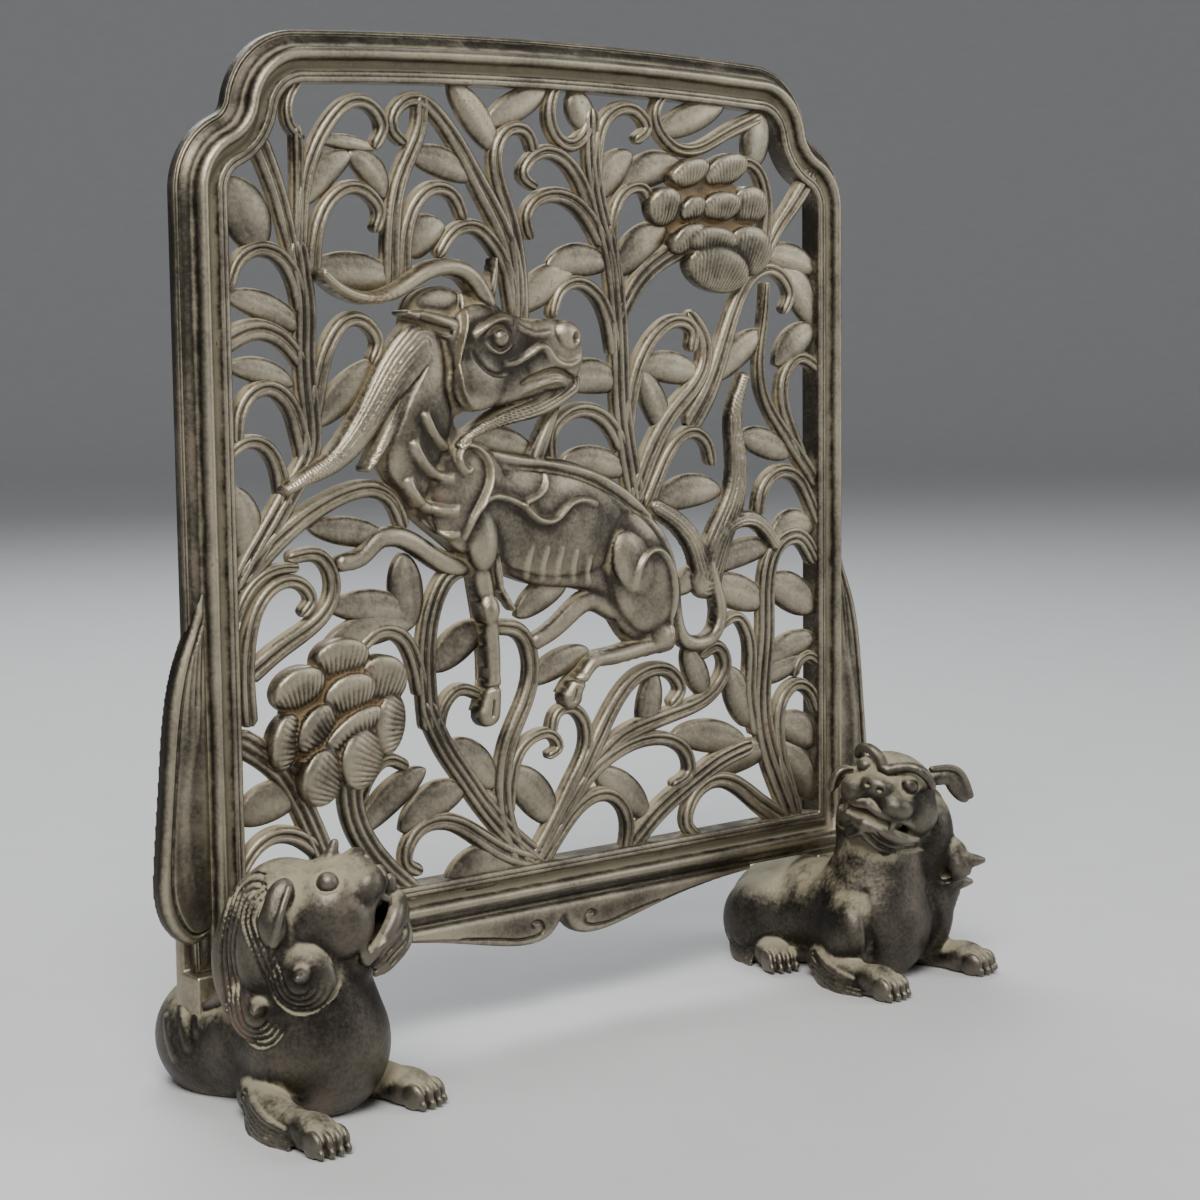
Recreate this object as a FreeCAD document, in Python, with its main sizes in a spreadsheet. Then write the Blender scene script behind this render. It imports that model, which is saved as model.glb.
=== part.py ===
"""A cast bronze desk screen: a moulded frame round a pierced lotus-scroll panel with a horned beast,
side wings and an apron, standing on two crouching lions that pull off downwards.

Millimetres, +Z up, the front faces -Y. The origin is on the ground under the middle of the whole object.
The screen is drawn in its own plane: x to the right of its middle, z up from the lip of the bottom rail,
y back from the face of that lip.
"""
import FreeCAD, Part
import math
import os
from FreeCAD import Placement, Rotation, Vector

# Driving dimensions: name, value in millimetres or degrees.
SIZES = (
    # Window of the frame, measured at the inner lip
    ("window_width", 168),
    ("stile_height", 151),
    ("shoulder_radius", 6),
    ("shoulder_tilt", 25),
    ("notch_radius", 16),
    ("notch_tilt", 80),
    ("ear_radius", 7),
    ("top_tilt", 3.2),
    # Section of the frame moulding, outwards from the lip and forwards or back from the lip's face
    ("frame_width", 11),
    ("frame_depth", 6),
    ("lip_width", 2.4),
    ("cove_run", 0.8),
    ("cove_depth", 1.6),
    ("bead_middle", 6),
    ("bead_radius", 1.5),
    ("bead_rise", 1.3),
    ("flank_run", 2.8),
    ("flank_drop", 3.4),
    # Pierced panel
    ("scroll_setback", 0.5),
    ("scroll_thickness", 3.5),
    ("backing_thickness", 1.2),
    ("beast_rise", 1.6),
    ("relief_root", 0.8),
    ("petal_step", 0.6),
    # Wings beside the stiles and apron under the bottom rail
    ("wing_height", 75),
    ("wing_reach", 8.5),
    ("wing_drop", 4.5),
    ("wing_setback", 1),
    ("wing_thickness", 4),
    ("apron_drop", 8.5),
    ("apron_half_length", 60),
    ("apron_notch", 5),
    ("apron_shift", 2.5),
    ("apron_setback", 1.5),
    ("apron_thickness", 4),
    # Standing height and the rests on the lions' backs
    ("lip_height", 37),
    ("rest_spacing", 180),
    ("rest_width", 13),
    ("rest_plate", 3),
    ("rest_rise", 24),
    ("rest_seat", 10),
    ("slide_clearance", 0.3),
    # Lions
    ("lion_spacing", 163),
    ("paw_reach", 51),
    ("left_inner_paw_setback", 11),
    ("right_outer_paw_setback", 8),
    ("right_inner_paw_setback", 5),
    ("rump_reach", 27),
    ("rump_width", 34),
    ("rump_length", 38),
    ("rump_height", 25),
    ("chest_width", 31),
    ("chest_length", 30),
    ("chest_height", 32),
    ("mane_width", 27),
    ("mane_length", 25),
    ("mane_height", 32),
    ("skull_width", 21),
    ("paw_width", 9.4),
    ("paw_length", 11.3),
    ("paw_height", 8.4),
    ("hind_paw_length", 15),
    ("hind_paw_height", 10),
    # How finely round forms are cut into flats: most turn of an outline from chord to chord, chords round a
    # stem's tip, a petal and the bead, and flats round a large, a middling and a small round form
    ("chord_turn", 45),
    ("tip_chords", 3),
    ("petal_chords", 10),
    ("bead_chords", 5),
    ("body_flats", 12),
    ("detail_flats", 8),
    ("small_flats", 6),
)

# The height of the window in which the scrolls below were drawn; its width was 168.
DRAWN_WIDTH = 168
DRAWN_HEIGHT = 175.76

# Scrolling stems, drawn from root to tip: width at the root, width at the tip, points of the middle line.
STEMS = (
    # Vine up the left side and its hooked arches
    (5, 4.5, (-83.5, 69), (-79, 76), (-74, 83), (-69, 90), (-65, 96), (-64.5, 105), (-65.3, 116), (-65, 128),
     (-66.5, 139)),
    (3.6, 2.6, (-66, 139), (-64.8, 152), (-62.5, 159), (-58, 166.3), (-51, 171), (-46, 169), (-44.5, 165.5),
     (-46, 162.3)),
    (3.6, 2.4, (-62.8, 133), (-61.5, 144), (-58.8, 149.3), (-53, 152.8), (-48, 151.3), (-45.6, 147.5),
     (-46.5, 144.6)),
    (3.2, 4.6, (-67.5, 137), (-69.6, 146), (-72, 153.5), (-75, 160.5)),
    (2.6, 2.2, (-66.8, 139), (-66.2, 152), (-66.2, 164)),
    (2.4, 1.8, (-65.5, 174.5), (-68.3, 169), (-67.8, 165.2), (-65.5, 163)),
    (4, 2.6, (-65.5, 126), (-67.2, 133), (-70.5, 137.8), (-76, 139.6), (-81, 137), (-83.3, 132.5)),
    (3.4, 4.6, (-65.5, 115), (-71, 121), (-77, 123), (-84.5, 120.5)),
    (4.4, 2.8, (-65, 94), (-67, 101.5), (-69.5, 107.5), (-74.5, 110.9), (-79.5, 109), (-82.3, 103),
     (-82.5, 101)),
    (4, 2.4, (-71, 85), (-72.4, 93.5), (-75.5, 98.5), (-79.5, 99.8), (-84.3, 97.5)),
    (4.4, 2.4, (-64, 103), (-61.8, 113), (-58.8, 120.5), (-53.5, 125), (-48.8, 123.5), (-46.8, 119.5),
     (-48, 116.6)),
    # Sprays over the beast's head
    (4.6, 3.2, (-42.8, 131), (-42.3, 146), (-40.5, 154), (-37, 161), (-34.8, 166), (-34.3, 171.5)),
    (4, 2.6, (-39.5, 132), (-38.8, 144), (-36, 150), (-31, 153.2), (-26.3, 152), (-23.8, 147.8)),
    (6, 2.4, (-8.8, 126), (-11.5, 142), (-17, 151.5), (-23, 160.5), (-29.5, 168.5), (-36, 172),
     (-41, 169.3), (-42, 165.5), (-39.8, 163.2)),
    (4.2, 2.6, (-9.5, 125), (-12, 136), (-15.5, 141.5), (-21, 145), (-26, 143.8), (-29.8, 139.5)),
    (5, 2.6, (-8, 122), (-8.6, 138), (-11.3, 149), (-14.3, 158), (-13.2, 164), (-9, 167), (-5.3, 166),
     (-3.8, 162.8)),
    # Vine right of the beast and its arches
    (5.5, 4, (26, 81), (23, 94), (21.3, 106), (21, 117), (20.3, 128), (18.6, 139), (15.5, 149), (13.6, 158),
     (13.3, 170)),
    (3.4, 2.8, (13.2, 170), (10.5, 165.5), (6.5, 163.8), (2.8, 165.8), (1.2, 169.5), (2.5, 176)),
    (4.4, 2.2, (13.5, 148), (10, 155.2), (5.5, 160.3), (0, 162), (-5, 159.7), (-6.6, 156.5), (-4, 154.5)),
    (4.6, 2.4, (16.5, 141.5), (12, 147.7), (6.5, 151.6), (0.5, 152.3), (-4, 150.3), (-6, 146.5),
     (-5.2, 143.6)),
    (4, 2.4, (19.8, 116), (17.6, 125), (13.5, 130.8), (8, 132.8), (3.5, 130.8), (1.3, 126)),
    (4.2, 2.6, (22, 94), (17.5, 100.5), (11, 103.6), (5, 102.7), (1, 99), (0.6, 93)),
    (3.8, 2.6, (14, 153), (14.8, 163), (17.3, 169.7), (22.5, 172.7), (27.5, 171.7), (29.8, 168.3),
     (27.3, 166)),
    (3.6, 2.6, (20.3, 131), (18.9, 142), (20, 149.5), (24, 154.2), (28.8, 154.4), (31, 150.5)),
    (4, 5, (21, 124), (26, 132), (32, 137), (40, 141)),
    (4.2, 2.8, (23, 97), (24.8, 108), (28.3, 116.3), (33.5, 121.8), (39.5, 123.8), (43.8, 121.6),
     (43.5, 118)),
    (5, 3.6, (25, 82), (31.5, 95), (38, 103), (44, 108.3), (47.4, 114), (47, 120), (43.5, 124.5)),
    # Arches round the upper blossom and down the right side
    (3.6, 2.4, (66, 172.5), (53, 167.4), (46, 164.3), (39.5, 164), (34.5, 167), (32.4, 171), (34.5, 176)),
    (4, 2.4, (66.3, 135), (67.8, 147), (67.3, 155.5), (63.8, 160.7), (59.3, 161.3), (56.8, 158.8)),
    (3, 4.6, (66.5, 137), (71, 145.3), (75.5, 150.3), (82, 158)),
    (6, 2.4, (48, 106), (54, 119), (58, 128), (62.5, 134), (68.5, 136.2), (74, 133.5), (75.6, 130),
     (74, 126.5)),
    (4.4, 1.2, (85, 83), (78, 91), (71.5, 98.5), (66.5, 106), (65.3, 114), (66.6, 123), (67.4, 132.5)),
    (4.2, 2.8, (80, 89), (75.5, 97.5), (73, 105), (74.2, 110.8), (78.3, 114.4), (84.8, 112)),
    (4, 2.6, (29, 80), (34, 90), (38.5, 95.6), (43.5, 97.4), (47.8, 95), (49.4, 90.5)),
    # Scrolls round the lower blossom
    (5, 3.2, (-82, 71), (-73, 79), (-64, 84.6), (-55, 88), (-48.5, 88.4), (-44, 86), (-41.5, 81)),
    (4.4, 2.8, (-81, 50.5), (-73, 55.8), (-65.5, 59.8), (-60.3, 65), (-59.8, 70.5), (-63, 74.8), (-69.5, 75)),
    (4, 2.4, (-81, 40), (-81.6, 52), (-80.3, 60.5), (-77, 67), (-71.5, 70), (-66.8, 68.5), (-65.3, 65.5),
     (-67, 63.3)),
    (2.6, 2, (-84.3, 62), (-79.8, 69.7), (-74, 72.7), (-69.5, 72.8)),
    (4.2, 2.8, (-36.5, 42), (-39, 51), (-42.5, 56), (-47.5, 57.2), (-53, 54)),
    (5, 4, (-34.5, 34), (-35.5, 44), (-35.3, 54), (-33.3, 62), (-28.5, 68.5), (-24, 70)),
    (5.5, 5, (-84.5, 37.5), (-78, 33.5), (-71.5, 27), (-68, 20), (-64, 11), (-60, -1)),
    (4, 3, (-63.5, 10), (-69, 14.3), (-75.5, 16), (-81, 13.5), (-84.5, 9)),
    (6, 4.6, (-55.5, 30), (-55.8, 19), (-53, 12), (-48.5, 6), (-41, -1)),
    (3.4, 2.6, (-54, 20), (-51, 26), (-46.5, 28.8), (-42.5, 27.3)),
    # Fan of stems from the middle of the bottom rail
    (5, 2.8, (-4, -0.6), (-15, 3.8), (-24, 9.7), (-31, 13), (-37, 12.7), (-41.2, 9), (-41.8, 5),
     (-39.3, 3.2)),
    (4.6, 4.6, (-3, -0.6), (-13, 7.5), (-20, 15), (-26, 23), (-31, 30), (-35, 38)),
    (5, 3.4, (-9, -0.6), (-14.3, 12), (-14.8, 20), (-13, 28.5), (-9.3, 35.5), (-6.5, 42), (-6.5, 49),
     (-9.5, 54), (-15, 55.5)),
    (3.6, 2, (-13.3, 12), (-12.3, 21), (-9.3, 27), (-4.5, 29.6), (0, 28.8), (1.3, 26), (-1, 24.6)),
    (4, 2.4, (-7, -0.6), (0.5, 10), (6, 18.5), (9.6, 25), (9.3, 31), (5.3, 34.8), (1, 34), (-0.5, 30.5)),
    (5.4, 2.8, (-3, 3), (8, 18.5), (13.5, 27), (18.8, 34.7), (25, 40), (32, 41.4), (37.5, 39), (39, 35.5),
     (36.8, 33)),
    (4, 2.8, (-1, 5), (11, 18.5), (20, 23.2), (29, 24.8), (36.5, 23.5), (41.3, 19.3), (41.6, 15),
     (37.5, 12.8)),
    (4.4, 3.2, (11, 19.5), (20, 26), (29, 28.6), (38, 30.3), (46.5, 32.4), (52, 36.5), (53.6, 41.5),
     (50.8, 45), (46.8, 44)),
    (4.2, 2.6, (-4, -0.6), (3.5, 8), (9.5, 12.4), (15.5, 13.2), (20.3, 10.3), (22.2, 5.5), (21.3, -0.6)),
    (5, 4.4, (23, -0.6), (31, 6.3), (38, 10.5), (45, 14), (52, 17), (60, 19)),
    # Fan of stems from the right end of the bottom rail
    (5, 2.8, (73, -0.6), (65, 4.6), (57.5, 10), (51, 12.2), (45.5, 10.8), (41.8, 7), (41, 2.5), (43.8, -0.6)),
    (6.2, 4, (77, -0.6), (72, 9), (68, 18), (66, 27), (66.2, 37), (67.3, 47), (67.4, 57), (69, 65),
     (73, 69.6), (78.5, 70.2), (83.3, 65)),
    (4, 2.4, (64.5, 22), (61.8, 33), (62.2, 41), (61.3, 47.3), (57.5, 51.7), (52, 50)),
    (4.4, 2.8, (78, -0.6), (73, 13), (71.3, 22), (72.8, 29.7), (77.3, 33), (82, 31.3), (84.8, 26.5)),
    (3.6, 3, (65, 76), (67, 83.5), (72, 86.6), (77.5, 85.3), (81.3, 80.8), (84.8, 74)),
    (2.6, 2.4, (77, 35), (78.5, 38.6), (81.5, 40), (84.8, 38.3)),
    (3.4, 2.4, (-32.5, 32), (-31, 39), (-27.3, 42.2), (-21, 40.5)),
)

# Plain leaves between the stems: base, tip, width, and how far the middle bows to the left of that line.
LEAVES = (
    # Upper left
    (-65, 149, -52.5, 160, 5, 1.5), (-53, 160.3, -43.5, 150.8, 4.8, 1.5), (-61, 162.5, -46, 161, 2.4, 0.5),
    (-37.5, 160.5, -20, 155.5, 5, 0.8), (-37.5, 138.5, -28.5, 145.8, 6, 1.5), (-75, 139, -83, 154, 8, -0.5),
    (-84.2, 130.2, -65, 122.5, 4.4, 1.2), (-84.2, 115.5, -68, 111.3, 4, 1), (-63, 102.5, -45, 116, 5.4, 0.8),
    (-64, 135.3, -41, 133.3, 6, 0.8), (-84.3, 91, -80.5, 75, 6, 1.5),
    # Upper middle
    (-26, 176, -13.5, 161.5, 5.4, 0.5), (-16.5, 167.5, 0.5, 176, 5, 0), (8, 176, 13, 167, 5.5, 0),
    (0, 136.5, 18.5, 137, 5.6, 1.2), (-9, 126.5, 8, 136, 6, 1), (3, 110.3, 22, 109.5, 6, 1.5),
    (4, 92.5, 23.5, 89, 5.4, 0.8), (14, 152, 25.5, 162.8, 6, 0.8), (22, 155, 41, 160.5, 6, 1.4),
    (20, 135, 36, 146, 6.4, 0.8), (27, 113.5, 46.5, 110.8, 5.6, 0.8), (27.5, 112.5, 35.5, 97, 5.4, 0.5),
    # Upper right
    (33, 167.3, 55, 175.5, 5.4, 0), (66.5, 174.5, 63.5, 160, 6.4, 0), (67, 139.8, 84.8, 135.8, 5.2, 1.2),
    (71, 113, 84.8, 122, 6, 0.8), (73, 137, 84.5, 122.5, 6.4, 1.2), (50, 109.5, 67.5, 121, 5.4, 0.8),
    (59, 96, 76, 90.5, 5.4, 0.6), (31, 80.5, 53, 83, 6, 1.5),
    # Lower left
    (-65, 81, -45, 77.5, 4.6, 0.3), (-60, 63.3, -38, 60, 5.4, 1.2), (-62, 55, -38, 58.5, 5.4, 1.2),
    (-41, 74, -39.5, 57, 6.5, 0), (-84.8, 20.5, -68.5, 24.5, 6.4, 0.8), (-54, 13.5, -36, 25.5, 5.4, 1),
    (-43, 12.5, -25, 20, 6.4, 1.5), (-31, -0.8, -10, 0.6, 8, 1), (-29, 30.8, -16.5, 19, 6, 0.6),
    (-22, 18.3, -14, 11, 4.4, 0), (-34, 47.5, -19, 56.5, 6, 0.6),
    # Lower middle
    (-13, 22.5, 0.5, 8.5, 6.8, 0.8), (28, 25, 31.3, 41, 5.4, 0), (13, 19, 29, 6, 6, 0.8),
    (-10, 57.5, 5, 64.5, 5.2, 0.8), (-7, 41.8, 11, 48, 4.8, 0.6), (-24, 99.3, -4, 94, 5.2, 0.8),
    # Lower right
    (55, 39.5, 62.5, 24, 6.2, 0), (37, 24.8, 61, 20, 6, 0.8), (47, 14.5, 69, 18, 6, 0.8),
    (71, 24, 84.8, 17.5, 7, 0.8), (71.5, 19, 84.8, 3, 7, 0.8), (67, 39.8, 84.8, 44.5, 5, 0.8),
    (65.5, 35, 80, 39.5, 4.6, 0.4), (68, 60, 85, 51.5, 7, 0.5), (69, 70, 84.5, 72.5, 6, 1.8),
    (48, 64, 70, 68.5, 5, 1), (47, 60.5, 68, 54.2, 6.4, 0.6),
    (37, 59.3, 48, 65, 4.6, 0), (41, 46, 48, 33, 5.2, 0),
)

# Outline of the beast's head, neck and body, closed back to its first point.
BEAST_BODY = (
    (-41, 121), (-46, 112), (-48, 103), (-48, 95), (-44, 88.5), (-39, 82), (-32, 76.5), (-25, 71.5),
    (-16, 68), (-6, 64.5), (4, 63), (13, 60), (20, 51), (28, 46), (34.5, 47.5), (37, 57), (36, 67),
    (31.5, 75.5), (25.5, 82), (17, 87.5), (6, 91.8), (-8, 94.5), (-20, 97), (-28, 102.5), (-18, 105.3),
    (-6, 106.6), (2, 109), (6.3, 116.5), (4.5, 122.5), (-3, 124.6), (-13, 125.5), (-22, 129), (-32, 132),
    (-39, 129),
)

# The beast's mane, horn, legs, hooves, tail, plumes and beard, drawn like stems.
BEAST_LIMBS = (
    (9, 2, (-37, 119.5), (-43, 114), (-48.5, 107), (-54, 100.3), (-60, 95), (-67, 91.8), (-72, 89.5)),
    (3.6, 1.6, (-19.5, 128), (-22.5, 132.8), (-26.5, 135.5), (-31, 136), (-36.5, 134.5), (-42, 131.6),
     (-48, 129.5), (-54, 129.8), (-58.5, 131.5), (-62.5, 134.5)),
    (6.5, 4.6, (-22.5, 76), (-21, 66), (-19.6, 57), (-18.9, 48), (-19, 41.5)),
    (4.6, 7.6, (-18.9, 44), (-19.3, 40), (-20, 36.5)),
    (5, 3.4, (-20, 71), (-29, 70.8), (-36, 74.3), (-42.5, 77.6), (-48, 77.3), (-52.5, 74), (-57.5, 73)),
    (5.5, 4, (33, 48), (24, 47), (16, 46), (10.5, 45.3), (7, 42), (4.8, 39)),
    (4, 7, (6.5, 42), (5, 40), (4, 37.8)),
    (5.4, 3.6, (18, 57), (10, 59.6), (4.5, 56.7), (-1, 53.2), (-5, 51.5)),
    (3.8, 3.4, (36, 62), (36.8, 53), (39, 48.3), (44, 46.5), (49, 48.3), (51, 54), (49.5, 60), (47.5, 65)),
    (9, 2.4, (47, 62), (52, 73), (56.5, 82), (57, 92), (56.3, 101), (59.3, 110)),
    (5, 4, (46, 62), (43, 70.5), (38, 76), (31, 80)),
    (5, 3, (46, 61), (50.5, 71.5), (56, 75.3), (62.5, 75.3), (69.5, 69)),
    (5, 1.4, (3, 110), (-5, 105.7), (-14, 103.3), (-22, 100.6), (-28.5, 97.2)),
)
BEAST_LEAVES = (
    (-28.5, 121.8, -42, 126.2, 5, -0.5), (-19, 127, -16.3, 138, 4, 0), (-6, 91, 4, 112, 6, 0),
    (-19, 68.5, -12.3, 59.5, 3.6, 0.6),
)

# Swelling forms on the front of the beast: middle, half length, half height, tilt in degrees, and rise.
BEAST_FORMS = (
    (-24, 117.5, 14, 12, -10, 3.6), (-4.5, 116, 9.5, 7.5, -8, 4.2), (-38, 103, 20, 8, 78, 2.4),
    (-25, 85, 11, 13, 20, 2.8), (-3, 78.5, 23, 12, -10, 2.2), (25, 65, 10, 15, 20, 3),
)

# Petals of the two blossoms: middle, half length, half width, tilt in degrees, and steps towards the viewer.
LOWER_PETALS = (
    (-59.5, 40, 14, 13, 0, 0), (-59, 52.3, 6.2, 4.2, 0, 1), (-69.8, 47, 5.8, 4.2, 15, 1),
    (-48.8, 46.5, 5.8, 5.2, -10, 1), (-73.3, 36, 5.4, 3.8, 75, 1), (-46.8, 37, 6, 4.2, 80, 1),
    (-57.5, 44.5, 6, 4.2, 10, 2), (-66, 38, 5.4, 4, 45, 2), (-57, 36.5, 7.6, 3.4, 28, 2),
    (-65, 27.5, 5.6, 5.2, 60, 3), (-55, 30.3, 5.8, 5.4, 70, 3),
)
UPPER_PETALS = (
    (49, 148, 14, 10, 0, 0), (41.5, 158.3, 5.5, 3, 15, 1), (53, 159.3, 6.2, 3.4, 15, 1),
    (33.8, 150.3, 4.4, 4, 0, 1), (60.3, 151, 5.2, 4.2, 0, 1), (41.8, 149.8, 3.6, 2.8, 20, 2),
    (50.8, 150.6, 5.6, 3.2, 5, 2), (40.5, 143, 5, 3, 20, 2), (59.8, 140.3, 6.4, 5.2, -10, 2),
    (50, 136, 8.4, 4.8, -12, 2), (47.5, 142.3, 6.8, 3.2, -3, 3),
)

# Islands of the cut scrollwork smaller than this area are left out.
SMALLEST_ISLAND = 3

doc = FreeCAD.newDocument("desk_screen")
sheet = doc.addObject("Spreadsheet::Sheet", "sizes")
for row, (alias, value) in enumerate(SIZES, start=1):
    sheet.set(f"A{row}", str(value))
    sheet.setAlias(f"A{row}", alias)
doc.recompute()


def size(alias):
    """A driving dimension as a plain number."""
    return float(sheet.get(alias))


def bind(thing, **formulas):
    """Ties properties of an object to formulas in the sheet's names; a double underscore stands for a dot."""
    for name, formula in formulas.items():
        thing.setExpression(name.replace("__", "."), formula)


def feature(label, shape, place):
    """An object that holds a shape worked out here from the sheet."""
    thing = doc.addObject("Part::Feature", label)
    thing.Shape = shape
    thing.Placement = place
    return thing


def extrusion(label, base, depth):
    """A face carried straight back by a formula's depth."""
    thing = doc.addObject("Part::Extrusion", label)
    thing.Base = base
    thing.DirMode = "Custom"
    thing.Dir = Vector(0, 1, 0)
    thing.Solid = True
    bind(thing, LengthFwd=depth)
    return thing


def union(label, things):
    """Several solids made one."""
    thing = doc.addObject("Part::MultiFuse", label)
    thing.Shapes = things
    thing.Refine = True
    return thing


def difference(label, base, tool):
    """One solid with another taken away."""
    thing = doc.addObject("Part::Cut", label)
    thing.Base = base
    thing.Tool = tool
    thing.Refine = True
    return thing


def box(label, length, width, height, x, y, z):
    """A block whose sides and lowest corner follow formulas."""
    thing = doc.addObject("Part::Box", label)
    bind(thing, Length=length, Width=width, Height=height)
    bind(thing, Placement__Base__x=x, Placement__Base__y=y, Placement__Base__z=z)
    return thing


def ball(label, lengths, at, turn=Rotation(), flats="body_flats"):
    """A round form in flats, with full lengths along its own x, y and z."""
    sides = round(size(flats))
    bands = sides // 2
    half = [length / 2 for length in lengths]
    rows = []
    for row in range(1, bands):
        climb = math.pi * row / bands
        angles = [math.pi / 2 + 2 * math.pi * side / sides for side in range(sides)]
        level = -half[2] * math.cos(climb)
        radii = (half[0] * math.sin(climb), half[1] * math.sin(climb))
        rows.append([Vector(radii[0] * math.cos(a), radii[1] * math.sin(a), level) for a in angles])
    bottom, top = Vector(0, 0, -half[2]), Vector(0, 0, half[2])
    faces = []
    for side in range(sides):
        after = (side + 1) % sides
        faces.append(polygon([bottom, rows[0][after], rows[0][side]]))
        faces.append(polygon([top, rows[-1][side], rows[-1][after]]))
        for low, high in zip(rows, rows[1:]):
            faces.append(polygon([low[side], low[after], high[after], high[side]]))
    return feature(label, Part.makeSolid(Part.makeShell(faces)), Placement(Vector(*at), turn))


def polygon(corners):
    """A flat face with straight sides."""
    return Part.Face(Part.makePolygon(corners + corners[:1]))


def flat(x, z):
    """A point of the drawing plane."""
    return Vector(x, 0, z)


def smooth(points, closed=False):
    """A smooth curve through points."""
    curve = Part.BSplineCurve()
    curve.interpolate(points, PeriodicFlag=closed)
    return curve


def stations(curve):
    """Places along a curve, close enough that the chords between them follow it."""
    places = []
    knots = curve.getKnots()
    for start, end in zip(knots, knots[1:]):
        turn = math.degrees(curve.tangent(start)[0].getAngle(curve.tangent(end)[0]))
        steps = max(1, math.ceil(turn / size("chord_turn")))
        places += [start + (end - start) * step / steps for step in range(steps)]
    return places + [knots[-1]]


def chords(points, closed=False):
    """Corners of the chords along the smooth curve through points."""
    curve = smooth(points, closed)
    return [curve.value(place) for place in stations(curve)]


def arc_chords(start, via, end, steps=None):
    """Corners of the chords along the arc through three points."""
    arc = Part.Arc(start, via, end)
    span = arc.LastParameter - arc.FirstParameter
    if steps is None:
        steps = max(2, math.ceil(math.degrees(span) / size("chord_turn")))
    return [arc.value(arc.FirstParameter + span * step / steps) for step in range(steps + 1)]


def merged(faces):
    """Overlapping flat faces made one, or as few as they hang together in."""
    pieces = faces[0].multiFuse(faces[1:])
    return Part.makeShell(pieces.Faces).removeSplitter().Faces


# Where the screen's own plane stands in the finished object.
LIP_PLANE = "(sizes.paw_reach - sizes.rump_reach) / 2"
screen_place = Placement(
    Vector(0, (size("paw_reach") - size("rump_reach")) / 2, size("lip_height")), Rotation()
)


class Turtle:
    """Draws a path of tangent lines and arcs in the drawing plane."""

    def __init__(self, x, z, heading):
        self.at = flat(x, z)
        self.heading = heading
        self.edges = []

    def line_to(self, x, z):
        self.edges.append(Part.LineSegment(self.at, flat(x, z)).toShape())
        self.at = flat(x, z)

    def arc(self, radius, turn):
        """Turns by degrees, to the left when positive."""
        side = math.copysign(1, turn)
        start = math.radians(self.heading)
        centre = self.at + flat(-math.sin(start), math.cos(start)) * (radius * side)
        spots = []
        for share in (0.5, 1):
            angle = math.radians(self.heading + turn * share)
            spots.append(centre + flat(math.sin(angle), -math.cos(angle)) * (radius * side))
        self.edges.append(Part.Arc(self.at, spots[0], spots[1]).toShape())
        self.at = spots[1]
        self.heading += turn


def window_outline():
    """The lip of the frame from the middle of the bottom rail round to it again, and the window's height."""
    half = size("window_width") / 2
    turtle = Turtle(0, 0, 90)
    turtle.line_to(half, 0)
    turtle.line_to(half, size("stile_height"))
    shoulder, notch, top = size("shoulder_tilt"), size("notch_tilt"), size("top_tilt")
    turtle.arc(size("shoulder_radius"), 90 - shoulder)
    turtle.arc(size("notch_radius"), shoulder - notch)
    turtle.arc(size("ear_radius"), notch - top)
    corner = turtle.at
    turtle.arc(corner.x / math.sin(math.radians(top)), 2 * top)
    turtle.arc(size("ear_radius"), notch - top)
    turtle.arc(size("notch_radius"), shoulder - notch)
    turtle.arc(size("shoulder_radius"), 90 - shoulder)
    turtle.line_to(-half, 0)
    turtle.line_to(0, 0)
    height = corner.z + corner.x * math.tan(math.radians(top / 2))
    return Part.Wire(turtle.edges), height


window, window_height = window_outline()
across = size("window_width") / DRAWN_WIDTH
upward = window_height / DRAWN_HEIGHT


def drawn(x, z):
    """A point of the scroll drawing, stretched to the window."""
    return flat(x * across, z * upward)


def ribbon(root_width, tip_width, *points):
    """The flat face of a tapering stem with a round tip."""
    middle = smooth([drawn(x, z) for x, z in points])
    places = stations(middle)
    first, last = places[0], places[-1]
    left = []
    right = []
    for place in places:
        spot = middle.value(place)
        along = middle.tangent(place)[0]
        share = (place - first) / (last - first)
        half = (root_width + (tip_width - root_width) * share) / 2
        left.append(spot + flat(-along.z, along.x) * half)
        right.append(spot - flat(-along.z, along.x) * half)
    tip = arc_chords(left[-1], spot + along * half, right[-1], round(size("tip_chords")))
    return polygon(left + tip[1:-1] + right[::-1])


def leaf(base_x, base_z, tip_x, tip_z, width, bow):
    """The flat face of a leaf between two arcs."""
    base, tip = drawn(base_x, base_z), drawn(tip_x, tip_z)
    along = (tip - base).normalize()
    left = flat(-along.z, along.x)
    middle = (base + tip) / 2
    upper = arc_chords(base, middle + left * (bow + width / 2), tip)
    lower = arc_chords(tip, middle + left * (bow - width / 2), base)
    return polygon(upper[:-1] + lower[:-1])


def petal(x, z, half_length, half_width, tilt):
    """The flat face of an oval petal."""
    middle = drawn(x, z)
    turn = math.radians(tilt)
    along = flat(math.cos(turn), math.sin(turn)) * half_length
    aside = flat(-math.sin(turn), math.cos(turn)) * half_width
    sides = round(size("petal_chords"))
    angles = [2 * math.pi * side / sides for side in range(sides)]
    return polygon([middle + along * math.cos(a) + aside * math.sin(a) for a in angles])


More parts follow.
